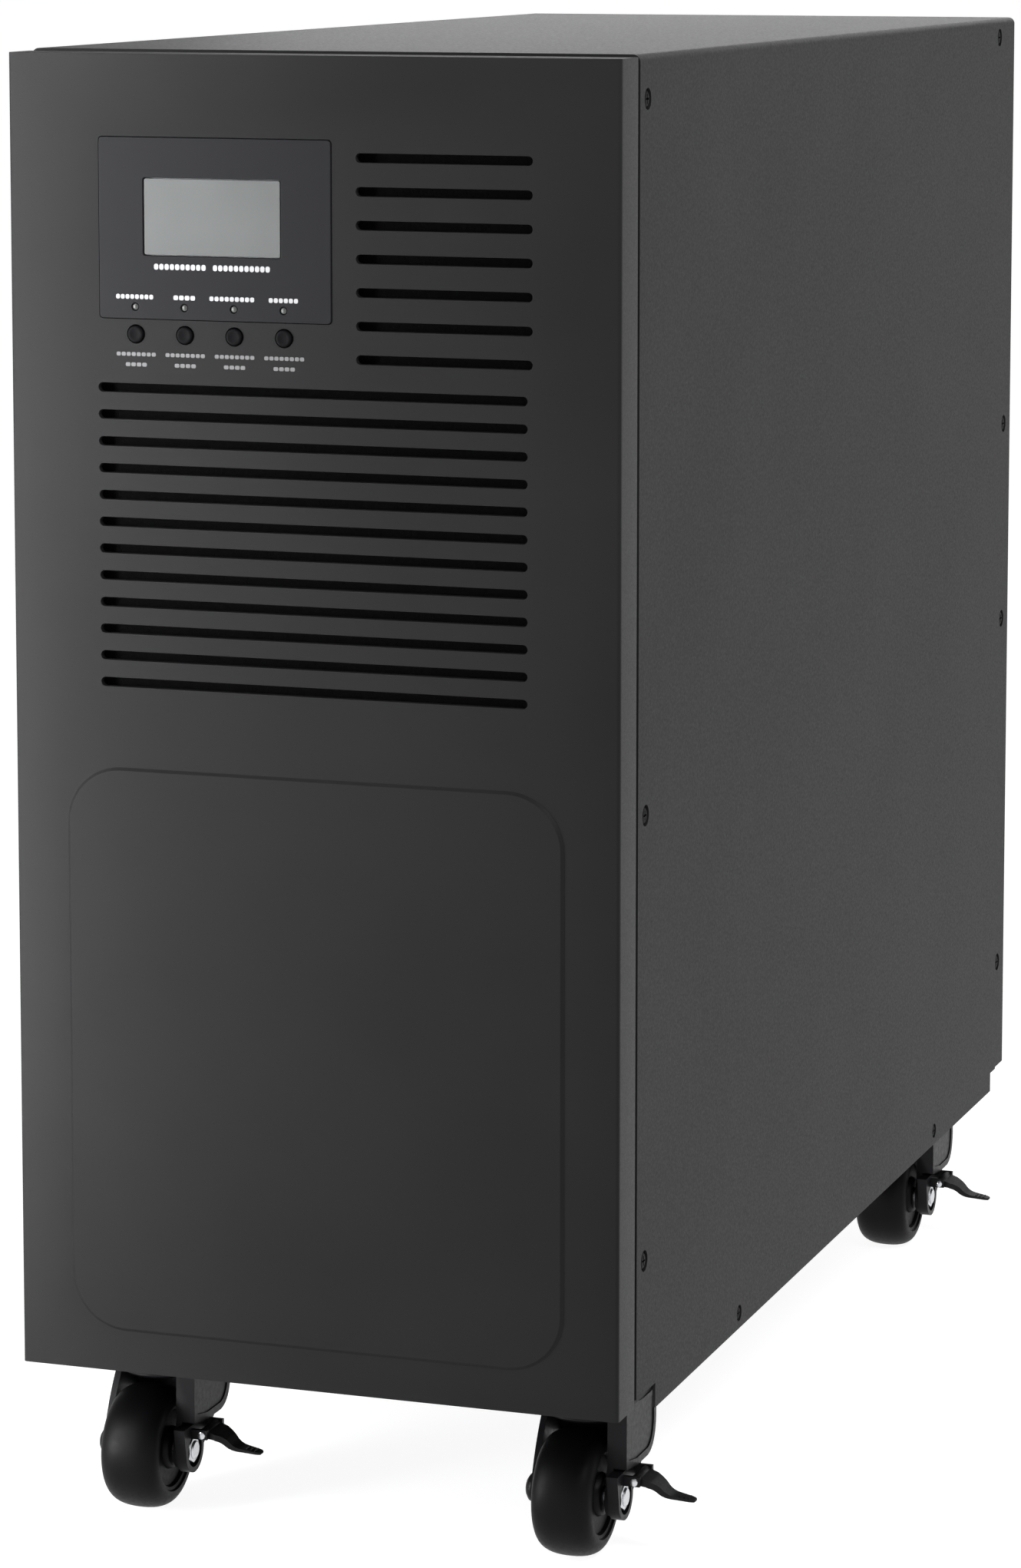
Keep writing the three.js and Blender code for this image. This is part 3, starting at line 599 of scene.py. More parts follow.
SLOT_HEIGHT = 3.6
LOWER_VENT = {"x0": -88.0, "x1": 88.0, "top": 463.0, "pitch": 10.5, "count": 12}
UPPER_VENT = {"x0": 19.0, "x1": 90.0, "top": 553.5, "pitch": 12.8, "count": 7}
CREST_LOW = Vector((-104, 0, 86))
CREST_HIGH = Vector((104, 0, 315))
CREST_RADIUS = 24.0
DISPLAY_LOW, DISPLAY_HIGH = node_box("display_frame")
DISPLAY_CORNER = 1.5
DISPLAY_GAP = 0.2
LCD_LOW, LCD_HIGH = node_box("lcd_window")
BUTTON_BOXES = [node_box(f"button_{i}") for i in range(1, 5)]
BUTTON_X = [(low.x + high.x) / 2 for low, high in BUTTON_BOXES]
BUTTON_Z = (BUTTON_BOXES[0][0].z + BUTTON_BOXES[0][1].z) / 2
BUTTON_RADIUS = 3.3
LIGHT_Z = sum(corner.z for corner in node_box("light_pipe")) / 2
INK_PROUD = 0.05
INK_DEPTH = 0.3


def through_front(outline):
    """A cutter that runs right through the bezel's front wall."""
    return prism(outline, "front", FACE - PAST, FACE + BEZEL_WALL + PAST)


def vent_cutters(vent):
    half = SLOT_HEIGHT / 2
    for row in range(vent["count"]):
        z = vent["top"] - row * vent["pitch"]
        yield through_front(rounded(vent["x0"], z - half, vent["x1"], z + half, half - 0.01, 5))


def crest_solid():
    """A plain raised field with a wide chamfer all round."""
    slope = 2.4
    outer = framed(CREST_LOW, CREST_HIGH, CREST_RADIUS, steps=12)
    inner = framed(CREST_LOW, CREST_HIGH, CREST_RADIUS - slope, -slope, steps=12)
    bm = prism(outer, "front", FACE - CREST_HEIGHT, FACE + 1)
    for vertex in bm.verts:
        if vertex.co.y < FACE:
            here = (vertex.co.x, vertex.co.z)
            nearest = min(range(len(outer)), key=lambda i: math.dist(outer[i], here))
            vertex.co.x, vertex.co.z = inner[nearest]
    return bm


def make_bezel():
    edge = 1.6
    low_z = BEZEL_LOW.z
    high_z = BEZEL_HIGH.z
    plan = ([(HALF_WIDTH, BEZEL_BACK), (-HALF_WIDTH, BEZEL_BACK)]
            + arc(-HALF_WIDTH + edge, FACE + edge, edge, 180, 270, 6)
            + arc(HALF_WIDTH - edge, FACE + edge, edge, 270, 360, 6))
    shell = prism(plan, "plan", low_z, high_z)
    rim_x = HALF_WIDTH - RIM_INSET
    rim = block(-rim_x, rim_x, BEZEL_BACK - 2, BEZEL_HIGH.y, low_z + RIM_INSET, high_z - RIM_INSET)
    shell = fuse(fuse(shell, rim), crest_solid())
    pocket_x = rim_x - BEZEL_WALL
    pocket = block(-pocket_x, pocket_x, FACE + BEZEL_WALL, BEZEL_HIGH.y + PAST,
                   low_z + RIM_INSET + BEZEL_WALL, high_z - RIM_INSET - BEZEL_WALL)
    window = through_front(framed(DISPLAY_LOW, DISPLAY_HIGH, DISPLAY_CORNER, DISPLAY_GAP))
    holes = [disc(BUTTON_RADIUS + 0.4, "y", (x, 0, BUTTON_Z), FACE - PAST, FACE + BEZEL_WALL + PAST)
             for x in BUTTON_X]
    shell = cut(shell, pocket)
    shell = cut(shell, window, *holes, *vent_cutters(LOWER_VENT), *vent_cutters(UPPER_VENT))
    bezel = piece("bezel_moulding", shell, MOULDED, "bezel_plastic",
                  replaces=["front_bezel"], bevel=0.45)
    # The side faces get the copy with the stronger reflection: painted sheen.
    sheen_painted_sides(bezel, MOULDED_SHEEN_SIDE)


def make_vent_shade_pads():
    """Near-black pads behind the vents: painted shade for the dark inside seen through the slots."""
    front = FACE + 5
    back = front + 3
    lower = block(-104, 104, front, back, 336, 469)
    upper = block(14, 104, front, back, 469.5, 566)
    piece("vent_shade_pad_lower", lower, CAVITY_SHADE, "black_plastic", bevel=0.6)
    piece("vent_shade_pad_upper", upper, CAVITY_SHADE, "black_plastic", bevel=0.6)


def make_display():
    plate = plate_of(DISPLAY_LOW, DISPLAY_HIGH, DISPLAY_CORNER, DISPLAY_LOW.y, DISPLAY_HIGH.y)
    before, behind = DISPLAY_LOW.y - PAST, DISPLAY_HIGH.y + PAST
    window = plate_of(LCD_LOW, LCD_HIGH, 1, before, behind, grow=0.3)
    lights = [disc(1.5, "y", (x, 0, LIGHT_Z), before, behind, 24) for x in BUTTON_X]
    piece("display_overlay", cut(plate, window, *lights), OVERLAY, "display_overlay",
          replaces=["display_frame"], bevel=0.35)
    lens = plate_of(LCD_LOW, LCD_HIGH, 0.8, LCD_LOW.y, LCD_HIGH.y)
    piece("lcd_lens", lens, LCD, "lcd_glass", replaces=["lcd_window"], bevel=0.3)
    pipe_low, pipe_high = node_box("light_pipe")
    bar = block(pipe_low.x, pipe_high.x, FACE + 2.4, pipe_high.y, pipe_low.z, pipe_high.z)
    pip = [(0, FACE - 0.6), (0.8, FACE - 0.45), (1.2, FACE - 0.1), (1.2, FACE + 2.6), (0, FACE + 2.6)]
    pips = [turned(pip, "y", 24, (x, 0, LIGHT_Z)) for x in BUTTON_X]
    piece("status_lights", merged(bar, *pips), LIGHT_PIPE, "clear_plastic", replaces=["light_pipe"])


def bars(rows, front):
    """Plain bars of ink that stand for printed captions: (left, right, z, thickness) each."""
    outlines = [rounded(left, z - thick / 2, right, z + thick / 2, thick * 0.3, 2)
                for left, right, z, thick in rows]
    return merged(*[prism(outline, "front", front, front + INK_DEPTH) for outline in outlines])


def dashes(left, right, z, thickness, dash=1.7, space=0.4):
    """A row of short bars between two x."""
    count = max(1, round((right - left + space) / (dash + space)))
    step = (right - left + space) / count
    return [(left + i * step, left + (i + 1) * step - space, z, thickness) for i in range(count)]


def make_legends():
    """A title under the display, a word over each light and two lines under each key."""
    legends = []
    for left, right in ((-64, -42.5), (-39.5, -16)):
        legends += dashes(left, right, 510.3, 2.3)
    for left, right in ((-80, -64.5), (-56, -47), (-41, -22.5), (-16.5, -4.5)):
        legends += dashes(left, right, 498.5, 1.8)
    piece("overlay_legends", bars(legends, DISPLAY_LOW.y - INK_PROUD), LEGEND, "lcd_body")
    captions = []
    for x in BUTTON_X:
        captions += dashes(x - 8.2, x + 8.2, 476.2, 1.5) + dashes(x - 4.4, x + 4.4, 472.2, 1.5)
    piece("key_captions", bars(captions, FACE - INK_PROUD), CAPTION, "lcd_body")


def make_buttons():
    """Round keys with a dished crown, each held behind the bezel by its flange."""
    radius = BUTTON_RADIUS
    back = FACE + BEZEL_WALL + 0.3
    flange = radius + 1.6
    crown = FACE - 1.0
    profile = [(0, crown + 0.25), (radius - 1.4, crown + 0.12), (radius - 0.7, crown),
               (radius - 0.25, crown + 0.15), (radius, crown + 0.6), (radius, back),
               (flange, back), (flange, back + 1.2), (0, back + 1.2)]
    for number, x in enumerate(BUTTON_X, start=1):
        cap = turned(profile, "y", 40, (x, 0, BUTTON_Z))
        piece(f"key_{number}", cap, BUTTON, "button_plastic", body=f"button_{number}",
              replaces=[f"button_{number}"], smooth=50)


# ---------------------------------------------------------------- case

SIDE_SCREWS = [(COVER_FRONT + 9.5, z) for z in (576, 301.5, 126)] + [
    (REAR - 30, 584), (REAR - 13, 395), (REAR - 13, 298.5), (REAR - 13, 126)]
BOTTOM_SCREWS = [(-149, 69.5), (176, 69.5)]
SIDE_HOLE = 4.2
BOTTOM_HOLE = 3.4


def make_cover():
    bend = 3.0
    inside = bend - SHEET
    inner_x = HALF_WIDTH - SHEET
    section = ([(-HALF_WIDTH, SKIRT), (-inner_x, SKIRT)]
               + arc(-HALF_WIDTH + bend, TOP - bend, inside, 180, 90, 6)
               + arc(HALF_WIDTH - bend, TOP - bend, inside, 90, 0, 6)
               + [(inner_x, SKIRT), (HALF_WIDTH, SKIRT)]
               + arc(HALF_WIDTH - bend, TOP - bend, bend, 0, 90, 8)
               + arc(-HALF_WIDTH + bend, TOP - bend, bend, 90, 180, 8))
    sheet = prism(section, "front", COVER_FRONT, REAR)
    over = HALF_WIDTH + PAST
    notch_top = SKIRT + 10
    front_notch = block(-over, over, COVER_FRONT - PAST, BEZEL_LOW.y + 48, SKIRT - PAST, notch_top)
    rear_notch = block(-over, over, REAR - 24.5, REAR + PAST, SKIRT - PAST, notch_top)
    holes = [disc(SIDE_HOLE, "x", (0, y, z), -over, over) for y, z in SIDE_SCREWS]
    low_holes = [disc(BOTTOM_HOLE, "x", (0, y, z), -over, over) for y, z in BOTTOM_SCREWS]
    sheet = cut(sheet, front_notch, rear_notch)
    sheet = cut(sheet, *holes, *low_holes)
    piece("case_wrap", sheet, POWDER, "painted_steel", replaces=["case_cover"], bevel=0.3)


def make_side_screws():
    """Screws sunk in the cover's holes, each on a washer that closes the hole from inside."""
    inner_x = HALF_WIDTH - SHEET
    washer_x = inner_x - 0.35
    rows = (("side", SIDE_HOLE, SIDE_SCREWS), ("bottom", BOTTOM_HOLE, BOTTOM_SCREWS))
    for label, radius, places in rows:
        shapes = []
        for side, facing in ((1, "x"), (-1, "-x")):
            heads = [(side * (inner_x - 0.1), y, z) for y, z in places]
            shapes.append(set_at(pan_head(radius * 0.8, 1.1), facing, *heads))
            ends = sorted((side * inner_x, side * washer_x))
            shapes += [disc(radius + 1, "x", (0, y, z), *ends) for y, z in places]
        piece(f"{label}_screws", merged(*shapes), SCREW, "caster_steel")


def make_seam_shade_frame():
    """A near-black frame that closes the seam between the bezel and the cover from inside: painted shade
    for the dark gap.
    """
    width = 7
    inner_x = HALF_WIDTH - SHEET
    y = COVER_FRONT + 0.3
    low_z = node_box("base_tray")[0].z + 1.5
    high_z = TOP - SHEET
    shade_sheet = block(-inner_x, inner_x, y, y + 1.2, low_z, high_z)
    opening = block(-inner_x + width, inner_x - width, y - 1, y + 3, low_z + width, high_z - width)
    piece("seam_shade_frame", cut(shade_sheet, opening), CAVITY_SHADE, "black_plastic")


def make_base():
    for node in ("base_tray", "rear_panel"):
        dress(node, POWDER)
    for node in ("front_bulkhead", "mid_shelf"):
        dress(node, GALVANISED)


# ---------------------------------------------------------------- rear

def rear_screws(name, radius, height, points, material=SCREW, slot="caster_steel"):
    piece(name, set_at(pan_head(radius, height), "y", *points), material, slot)


def make_rear_screws():
    """Pan heads that hold the rear panel to the tray and to the cover's flanges."""
    places = [(x, REAR_FACE, z) for x in (-114, 114) for z in (96, 250, 400, 578)]
    places += [(x, REAR_FACE, 586) for x in (-40, 40)]
    rear_screws("rear_panel_screws", 3.6, 1.8, places)


BLADES = 7


def make_fan(side):
    """A fan's housing, its wire guard with four screws, and its rotor."""
    housing = node_centre(f"fan_housing_{side}")
    guard_low, guard_high = node_box(f"fan_guard_{side}")
    rotor_low, rotor_high = node_box(f"fan_rotor_{side}")
    x, z = housing.x, housing.z
    dress(f"fan_housing_{side}", FAN_PLASTIC, 0.6)
    corner = 41.25
    reach = corner * math.sqrt(2) - 2.6
    wire = 0.95
    inner_y = guard_low.y + wire
    outer_y = guard_high.y - wire
    wires = [ring(radius, wire, "y", (x, outer_y, z)) for radius in (10, 17, 24, 31, 38, 44)]
    for (x0, z0), (x1, z1) in zip(around(9.5, 4, 45), around(reach, 4, 45)):
        wires.append(rod((x + x0, inner_y, z + z0), (x + x1, inner_y, z + z1), wire))
    corners = [(x + sx * corner, inner_y, z + sz * corner) for sx in (-1, 1) for sz in (-1, 1)]
    wires += [ring(3.2, wire, "y", point, 24) for point in corners]
    piece(f"guard_wires_{side}", merged(*wires), ZINC, "zinc_wire", replaces=[f"fan_guard_{side}"],
          smooth=60)
    heads = [(px, REAR_FACE + 1.6, pz) for px, _, pz in corners]
    rear_screws(f"guard_screws_{side}", 3.4, 1.8, heads)
    blades = [fan_blade(rotor_low.y + 1.5, rotor_high.y - 1.0, i * 360 / BLADES) for i in range(BLADES)]
    depth = rotor_high.y - rotor_low.y
    profile = [(0, 0.2), (16.5, 0.2), (17.6, 1.2), (17.9, 3), (17.9, depth - 2.2), (16.9, depth - 0.8),
               (15, depth - 0.3), (9, depth - 0.3), (8.6, depth - 0.9), (0, depth - 0.9)]
    hub = turned(profile, "y", 48, (0, rotor_low.y, 0))
    piece(f"rotor_{side}", moved(merged(hub, *blades), x, 0, z), FAN_PLASTIC, "fan_plastic",
          body=f"fan_rotor_{side}", replaces=[f"fan_rotor_{side}"], smooth=50)


def fan_blade(y0, y1, turn):
    """A swept, cambered blade from the hub to just inside the housing's bore."""
    bm = bmesh.new()
    stations = 7
    chord = 7
    root, span = 17, 24
    half_thickness = 0.6
    camber = 2.4
    layers = []
    for offset in (-half_thickness, half_thickness):
        grid = []
        for i in range(stations):
            out = i / (stations - 1)
            radius = root + out * span
            row = []
            for j in range(chord):
                across = j / (chord - 1)
                angle = math.radians(turn + (across - 0.5) * (44 - 6 * out) + 16 * out * out)
                y = y0 + (y1 - y0) * across - camber * math.sin(math.pi * across) + offset
                y = min(max(y, y0), y1)
                row.append(bm.verts.new((radius * math.cos(angle), y, radius * math.sin(angle))))
            grid.append(row)
        layers.append(grid)
    back, front = layers
    for i in range(stations - 1):
        for j in range(chord - 1):
            for grid in layers:
                bm.faces.new((grid[i][j], grid[i][j + 1], grid[i + 1][j + 1], grid[i + 1][j]))
    tip, end = stations - 1, chord - 1
    edge = [(i, 0) for i in range(stations)] + [(tip, j) for j in range(1, chord)]
    edge += [(i, end) for i in range(tip - 1, -1, -1)] + [(0, j) for j in range(end - 1, 0, -1)]
    for (i, j), (k, m) in zip(edge, edge[1:] + edge[:1]):
        bm.faces.new((back[i][j], back[k][m], front[k][m], front[i][j]))
    bmesh.ops.recalc_face_normals(bm, faces=bm.faces)
    return bm


def make_slot_cover():
    """The blank plate of the communication slot with its lip, and two knurled thumbscrews."""
    low, high = node_box("slot_cover")
    plate = plate_of(low, high, 2, low.y, high.y)
    middle = (low.z + high.z) / 2
    lip = block(low.x + 30, high.x - 30, high.y - 0.4, high.y + 3.4, middle - 0.8, middle + 0.8)
    piece("slot_plate", fuse(plate, lip), POWDER, "painted_steel", replaces=["slot_cover"], bevel=0.3)
    ridge_count = 18
    profile = [(0, -0.2), (3.4, -0.2), (3.4, 1), (4.5, 1), (4.5, 5.4), (4, 5.9), (2.2, 5.9), (2, 5.4),
               (0, 5.4)]
    for number, x in enumerate((low.x + 8, high.x - 8), start=1):
        ridges = [spun(block(4.2, 4.9, -0.35, 0.35, 1.2, 5.2), 360 / ridge_count * i, "Z")
                  for i in range(ridge_count)]
        knob = merged(turned(profile, "z", 36), *ridges)
        piece(f"slot_thumbscrew_{number}", set_at(knob, "y", (x, high.y, middle)), ZINC, "caster_zinc")


def trapezium(x, z, half_top, half_bottom, half_height):
    """The outline of a nine-pin connector, which is wider at the top."""
    return [(x - half_top, z + half_height), (x - half_bottom, z - half_height),
            (x + half_bottom, z - half_height), (x + half_top, z + half_height)]


def make_serial_port():
    low, high, x, z = box_and_middle("serial_port")
    face = high.y
    flange_y = REAR_FACE + 1.2
    flange = plate_of(low, high, 1.2, low.y, flange_y)
    shell = prism(trapezium(x, z, 8.6, 7.4, 4.2), "front", REAR_FACE + 1, face)
    hollow = prism(trapezium(x, z, 7.9, 6.8, 3.6), "front", face - 2.6, face + 1)
    nuts = set_at(hex_head(2.6, 2.4), "y", (x - 12.5, flange_y, z), (x + 12.5, flange_y, z))
    piece("serial_shell", merged(cut(fuse(flange, shell), hollow), nuts), ZINC, "galvanised_steel",
          replaces=["serial_port"], bevel=0.1)
    core = prism(trapezium(x, z, 7.6, 6.6, 3.4), "front", face - 3.4, face - 2.2)
    piece("serial_insert", core, NYLON, "black_plastic", bevel=0.2)
    pitch = 2.76
    pins = []
    for count, first, rise in ((5, -5.5, 1.4), (4, -4.15, -1.4)):
        pins += [disc(0.5, "y", (x + first + i * pitch, 0, z + rise), face - 2.4, face - 0.6, 12)
                 for i in range(count)]
    piece("serial_pins", merged(*pins), ZINC, "caster_zinc")


def make_usb_port():
    low, high, x, z = box_and_middle("usb_port")
    outer = plate_of(low, high, 1.0, low.y, high.y)
    opening = [(x - 4.4, z - 4), (x + 4.4, z - 4), (x + 4.4, z + 2), (x + 2.6, z + 4), (x - 2.6, z + 4),
               (x - 4.4, z + 2)]
    hollow = prism(opening, "front", high.y - 6, high.y + 1)
    piece("usb_shell", cut(outer, hollow), ZINC, "galvanised_steel", replaces=["usb_port"], bevel=0.2)
    tongue = block(x - 2.8, x + 2.8, high.y - 6.5, high.y - 0.8, z - 1.6, z + 1.6)
    piece("usb_tongue", tongue, NYLON, "black_plastic", bevel=0.3)


def make_shutdown_plug():
    """A two-pole green plug with its wire entries and clamp screws."""
    low, high, x, z = box_and_middle("shutdown_terminal")
    face = high.y
    body = block(low.x, high.x, low.y, face, low.z, high.z)
    poles = (x - 3.9, x + 3.9)
    screw_z = z + 2.2
    entries = [block(pole - 2, pole + 2, face - 3.5, face + 1, z - 3.4, z - 0.2) for pole in poles]
    wells = [disc(1.7, "y", (pole, 0, screw_z), face - 1.4, face + 1, 20) for pole in poles]
    piece("shutdown_plug", cut(body, *entries, *wells), GREEN, "green_plastic",
          replaces=["shutdown_terminal"], bevel=0.25)
    head = turned([(0, 0), (1.5, 0), (1.5, 0.5), (0, 0.5)], "z", 20)
    slotted = cut(head, block(-2, 2, -0.2, 0.2, 0.2, 1))
    points = [(pole, face - 1.3, screw_z) for pole in poles]
    piece("shutdown_screws", set_at(slotted, "y", *points), ZINC, "caster_zinc")


def make_battery_connector():
    """The battery connector's shell with two wells and their flat contacts."""
    low, high, x, z = box_and_middle("battery_connector")
    body = plate_of(low, high, 2.5, low.y, high.y)
    wells = []
    contacts = []
    for dx in (-11.5, 11.5):
        wells.append(prism(rounded_at(x + dx, z, 17, 16, 2), "front", high.y - 9, high.y + 1))
        contacts.append(block(x + dx - 5, x + dx + 5, high.y - 9.5, high.y - 1.5, z - 1.2, z + 1.2))
    piece("connector_shell", cut(body, *wells), NYLON, "black_plastic",
          replaces=["battery_connector"], bevel=0.5)
    piece("connector_contacts", merged(*contacts), ZINC, "caster_zinc", bevel=0.3)
    points = [(x + dx, high.y, z) for dx in (-24.4, 24.4)]
    rear_screws("connector_screws", 2.6, 1.4, points, ZINC, "caster_zinc")


TOGGLE_TILT = 25      # degrees the toggle points up at rest


def make_breaker():
    """The breaker's case, its plain on and off marks, its screws and its toggle."""
    low, high, x, z = box_and_middle("breaker_body")
    case = plate_of(low, high, 2.5, low.y, high.y)
    well = prism(rounded_at(x, z, 24, 21, 1.5), "front", high.y - 12.5, high.y + 1)
    piece("breaker_case", cut(case, well), NYLON, "black_plastic", replaces=["breaker_body"], bevel=0.5)
    ink = high.y - 0.1
    on_mark = block(x - 0.4, x + 0.4, ink, high.y + 0.05, z + 14, z + 18)
    off_mark = turned([(1.5, 0), (2.2, 0), (2.2, 0.15), (1.5, 0.15)], "y", 28, (x, ink, z - 16))
    piece("breaker_marks", merged(on_mark, off_mark), LEGEND, "lcd_body")
    points = [(x + dx, high.y, z + dz) for dx in (-20, 20) for dz in (-16, 16)]
    rear_screws("breaker_screws", 2.4, 1.2, points, ZINC, "caster_zinc")
    pivot = breaker_pivot()
    barrel = turned([(0, -10.2), (4.6, -10.2), (4.9, -9.9), (4.9, 9.9), (4.6, 10.2), (0, 10.2)], "x", 36)
    outline = [(0, -2.3), (8, -2.0)] + arc(10.2, 0, 1.8, -80, 80, 8) + [(8, 2.0), (0, 2.3)]
    lever = prism(outline, "side", -6.8, 6.8)
    ribs = [block(-5.5, 5.5, 6.2 + i * 1.7, 6.9 + i * 1.7, 1.6, 2.35) for i in range(3)]
    toggle = spun(fuse(barrel, lever, *ribs), TOGGLE_TILT, "X")
    piece("breaker_lever", moved(toggle, *pivot), BUTTON, "button_plastic", body="breaker_toggle",
          replaces=["breaker_toggle"], bevel=0.25)


def breaker_pivot():
    """The toggle turns about the middle of its round barrel, whose back is the node's back."""
    low, high = node_box("breaker_toggle")
    barrel = 5.0
    return Vector(((low.x + high.x) / 2, low.y + barrel, node_centre("breaker_body").z))


def make_terminal_cover():
    """A sheet lid with three sets of knock-out rings, hollow on the side of the terminals."""
    low, high = node_box("terminal_cover")
    pan = plate_of(low, high, 3, low.y, high.y)
    inside = plate_of(low, high, 2, low.y - 1, high.y - SHEET, grow=-SHEET)
    ring_z = (low.z + high.z) / 2 - 6
    width = 0.8
    grooves = [turned([(radius, 0), (radius + width, 0), (radius + width, 1), (radius, 1)], "y", 48,
                      (x, high.y - 0.4, ring_z)) for x in (-56, 0, 56) for radius in (9, 14)]
    piece("terminal_lid", cut(cut(pan, inside), *grooves), POWDER, "painted_steel",
          replaces=["terminal_cover"], bevel=0.15)
    points = [(x, high.y, pz) for x in (low.x + 7, high.x - 7) for pz in (low.z + 7, high.z - 7)]
    rear_screws("terminal_screws", 3.4, 1.0, points, ZINC, "caster_zinc")
    dress("terminal_block", NYLON, 0.3)


def make_rear_vent_shade():
    """A near-black plate behind the low vents of the rear panel: painted shade for the dark inside."""
    y = REAR_FACE - SHEET - 3
    piece("rear_vent_shade_plate", block(-96, 96, y, y + 2.6, 85, 134), CAVITY_SHADE, "black_plastic", bevel=0.3)


def make_earth_stud():
    shank = turned([(0, 0), (2.1, 0), (2.1, 6.0), (1.7, 6.4), (0, 6.4)], "z", 24)
    stud = merged(hex_head(4.4, 3.2, flange=5.6), shank)
    piece("earth_stud", set_at(stud, "y", (96, REAR_FACE, 248)), ZINC, "caster_zinc")


def make_inside():
    for node in ("control_board", "power_board"):
        dress(node, BOARD, 0.2)
    dress("lcd_module", GALVANISED, 0.2)
    dress("battery_tray", GALVANISED)
    for i in range(1, 5):
        dress(f"battery_{i}", BATTERY, 1.2)
    dress("heat_sink", ALUMINIUM, 0.2)
    dress("inductor", COPPER, 2.0)
    for i in (1, 2):
        dress(f"capacitor_{i}", BATTERY, 1.0)


# ---------------------------------------------------------------- casters
# Drawn round the swivel axis with the floor at z = 0, then moved into place.

WHEEL_RADIUS = 25.0
WHEEL_HALF = 12.5
TRAIL = 17.0
LEG_INNER = 14.0
LEG_OUTER = 16.6
DRUM_RADIUS = 17.5
DRUM_Z = 52.8
HEAD_TOP = 65.0
CHEEK_X = 22.0
CHEEK_Z = 35.0
BOSS = 4.0
PIVOT = Vector((25.0, -11.5, 32.4))
PEDAL_HALF = 6.9
PEDAL_TIP = 23.0
EAR = 2.0
EAR_GAP = 0.3
PLATE_HALF = 29.8
BOLT_CIRCLE = 31.0
PIN_RADIUS = 4.0
PIN_BORE = 5.0
AXLE_RADIUS = 3.8
AXLE_BORE = 4.1
AXLE = (-TRAIL, WHEEL_RADIUS)      # the axle's y and z


def caster_plate(low, high):
    """The mounting plate with four slots, over the upper half of the swivel's race.

    The race is drawn solid and bored with the plate, so that no skin is left across the bore.
    """
    half = PLATE_HALF
    sheet = prism(rounded(-half, -half, half, half, 6), "plan", high - 2.5, high)
    slot = rounded_at(0, BOLT_CIRCLE, 6.5, 12, 3.2)
    slots = [spun(prism(slot, "plan", high - 4, high + 2), 45 + 90 * i, "Z") for i in range(4)]
    race = turned([(0, low), (18.6, low), (19.6, low + 0.5), (19.9, low + 1.4), (19.9, high - 1),
                   (0, high - 1)], "z", 56)
    plate = fuse(cut(sheet, *slots), race)
    return cut(plate, disc(PIN_BORE, "z", (0, 0, 0), low - 1, high + 1, 32))


def caster_bolts(high):
    points = [(x, y, high - 2.4) for x, y in around(BOLT_CIRCLE, 4, 45)]
    return set_at(hex_head(4.3, 2.0), "-z", *points)


def caster_leg(x0, x1):
    """A raked leg from the drum down to a round foot on the axle."""
    foot = 8.0
    top = HEAD_TOP - 2
    outline = [(12, top), (-3, top)]
    outline += curve((-3, top), (-20, 46), (-TRAIL - foot, WHEEL_RADIUS), 12)[1:]
    outline += arc(*AXLE, foot, 180, 360, 16)[1:]
    outline += curve((-TRAIL + foot, WHEEL_RADIUS), (10, 36), (12, 50), 10)[1:]
    return prism(outline, "side", x0, x1)


def caster_drum():
    """The swivel drum above the wheel, with a rolled groove and the kingpin."""
    radius = DRUM_RADIUS
    groove = radius - 0.8
    pin_top = HEAD_TOP + 4.4
    return turned([(0, DRUM_Z), (radius - 1.2, DRUM_Z), (radius, DRUM_Z + 1), (radius, DRUM_Z + 5),
                   (groove, DRUM_Z + 5.6), (groove, DRUM_Z + 6.6), (radius, DRUM_Z + 7.2),
                   (radius, HEAD_TOP - 2.2), (radius - 0.8, HEAD_TOP - 0.7), (radius - 2, HEAD_TOP),
                   (PIN_RADIUS, HEAD_TOP), (PIN_RADIUS, pin_top), (0, pin_top)], "z", 56)


def caster_cheek():
    """The housing outside the right leg, with a shallow panel sunk in its outer face."""
    def outline(inset):
        low = CHEEK_Z + inset
        top = 61 - inset
        front = -20.6 + inset
        back = 18 - inset
        shape = [(front, low + 2), (-7, low), (7, low)]
        shape += curve((7, low), (back - 1, low + 1), (back, 48), 10)[1:]
        return shape + [(back, top), (front, top)]
    housing = prism(outline(0), "side", LEG_INNER, CHEEK_X)
    panel = prism(outline(3), "side", CHEEK_X - 0.5, CHEEK_X + 1)
    return cut(housing, panel)


def brake_boss():
    """The plate round the axle nut, flat on top and round below, and the ears that hold the lever."""
    rim = 9.2
    top = CHEEK_Z + 1
    outline = [(6, top), (-TRAIL - 11.5, top), (-TRAIL - rim, WHEEL_RADIUS)]
    outline += arc(*AXLE, rim, 180, 360, 20)[1:]
    boss = prism(outline, "side", LEG_OUTER - 0.5, LEG_OUTER + BOSS)
    boss = cut(boss, disc(7, "x", (0, *AXLE), LEG_OUTER + 0.01, LEG_OUTER + 20, 36))
    near = PEDAL_HALF + EAR_GAP
    ears = [block(LEG_OUTER - 1, PIVOT.x + 2.3, y, y + EAR, PIVOT.z - 1.8, PIVOT.z + 2.1)
            for y in (PIVOT.y - near - EAR, PIVOT.y + near)]
    return fuse(boss, *ears)


def caster_fork():
    """Two raked legs on a swivel drum, with the brake's cheek and boss on the right leg."""
    web_x = LEG_INNER + 1
    web = block(-web_x, web_x, 5, 8, 42, DRUM_Z + 1)
    body = fuse(caster_drum(), caster_leg(LEG_INNER, LEG_OUTER), caster_leg(-LEG_OUTER, -LEG_INNER),
                caster_cheek(), brake_boss(), web)
    return cut(body, disc(AXLE_BORE, "x", (0, *AXLE), -30, 30, 32))


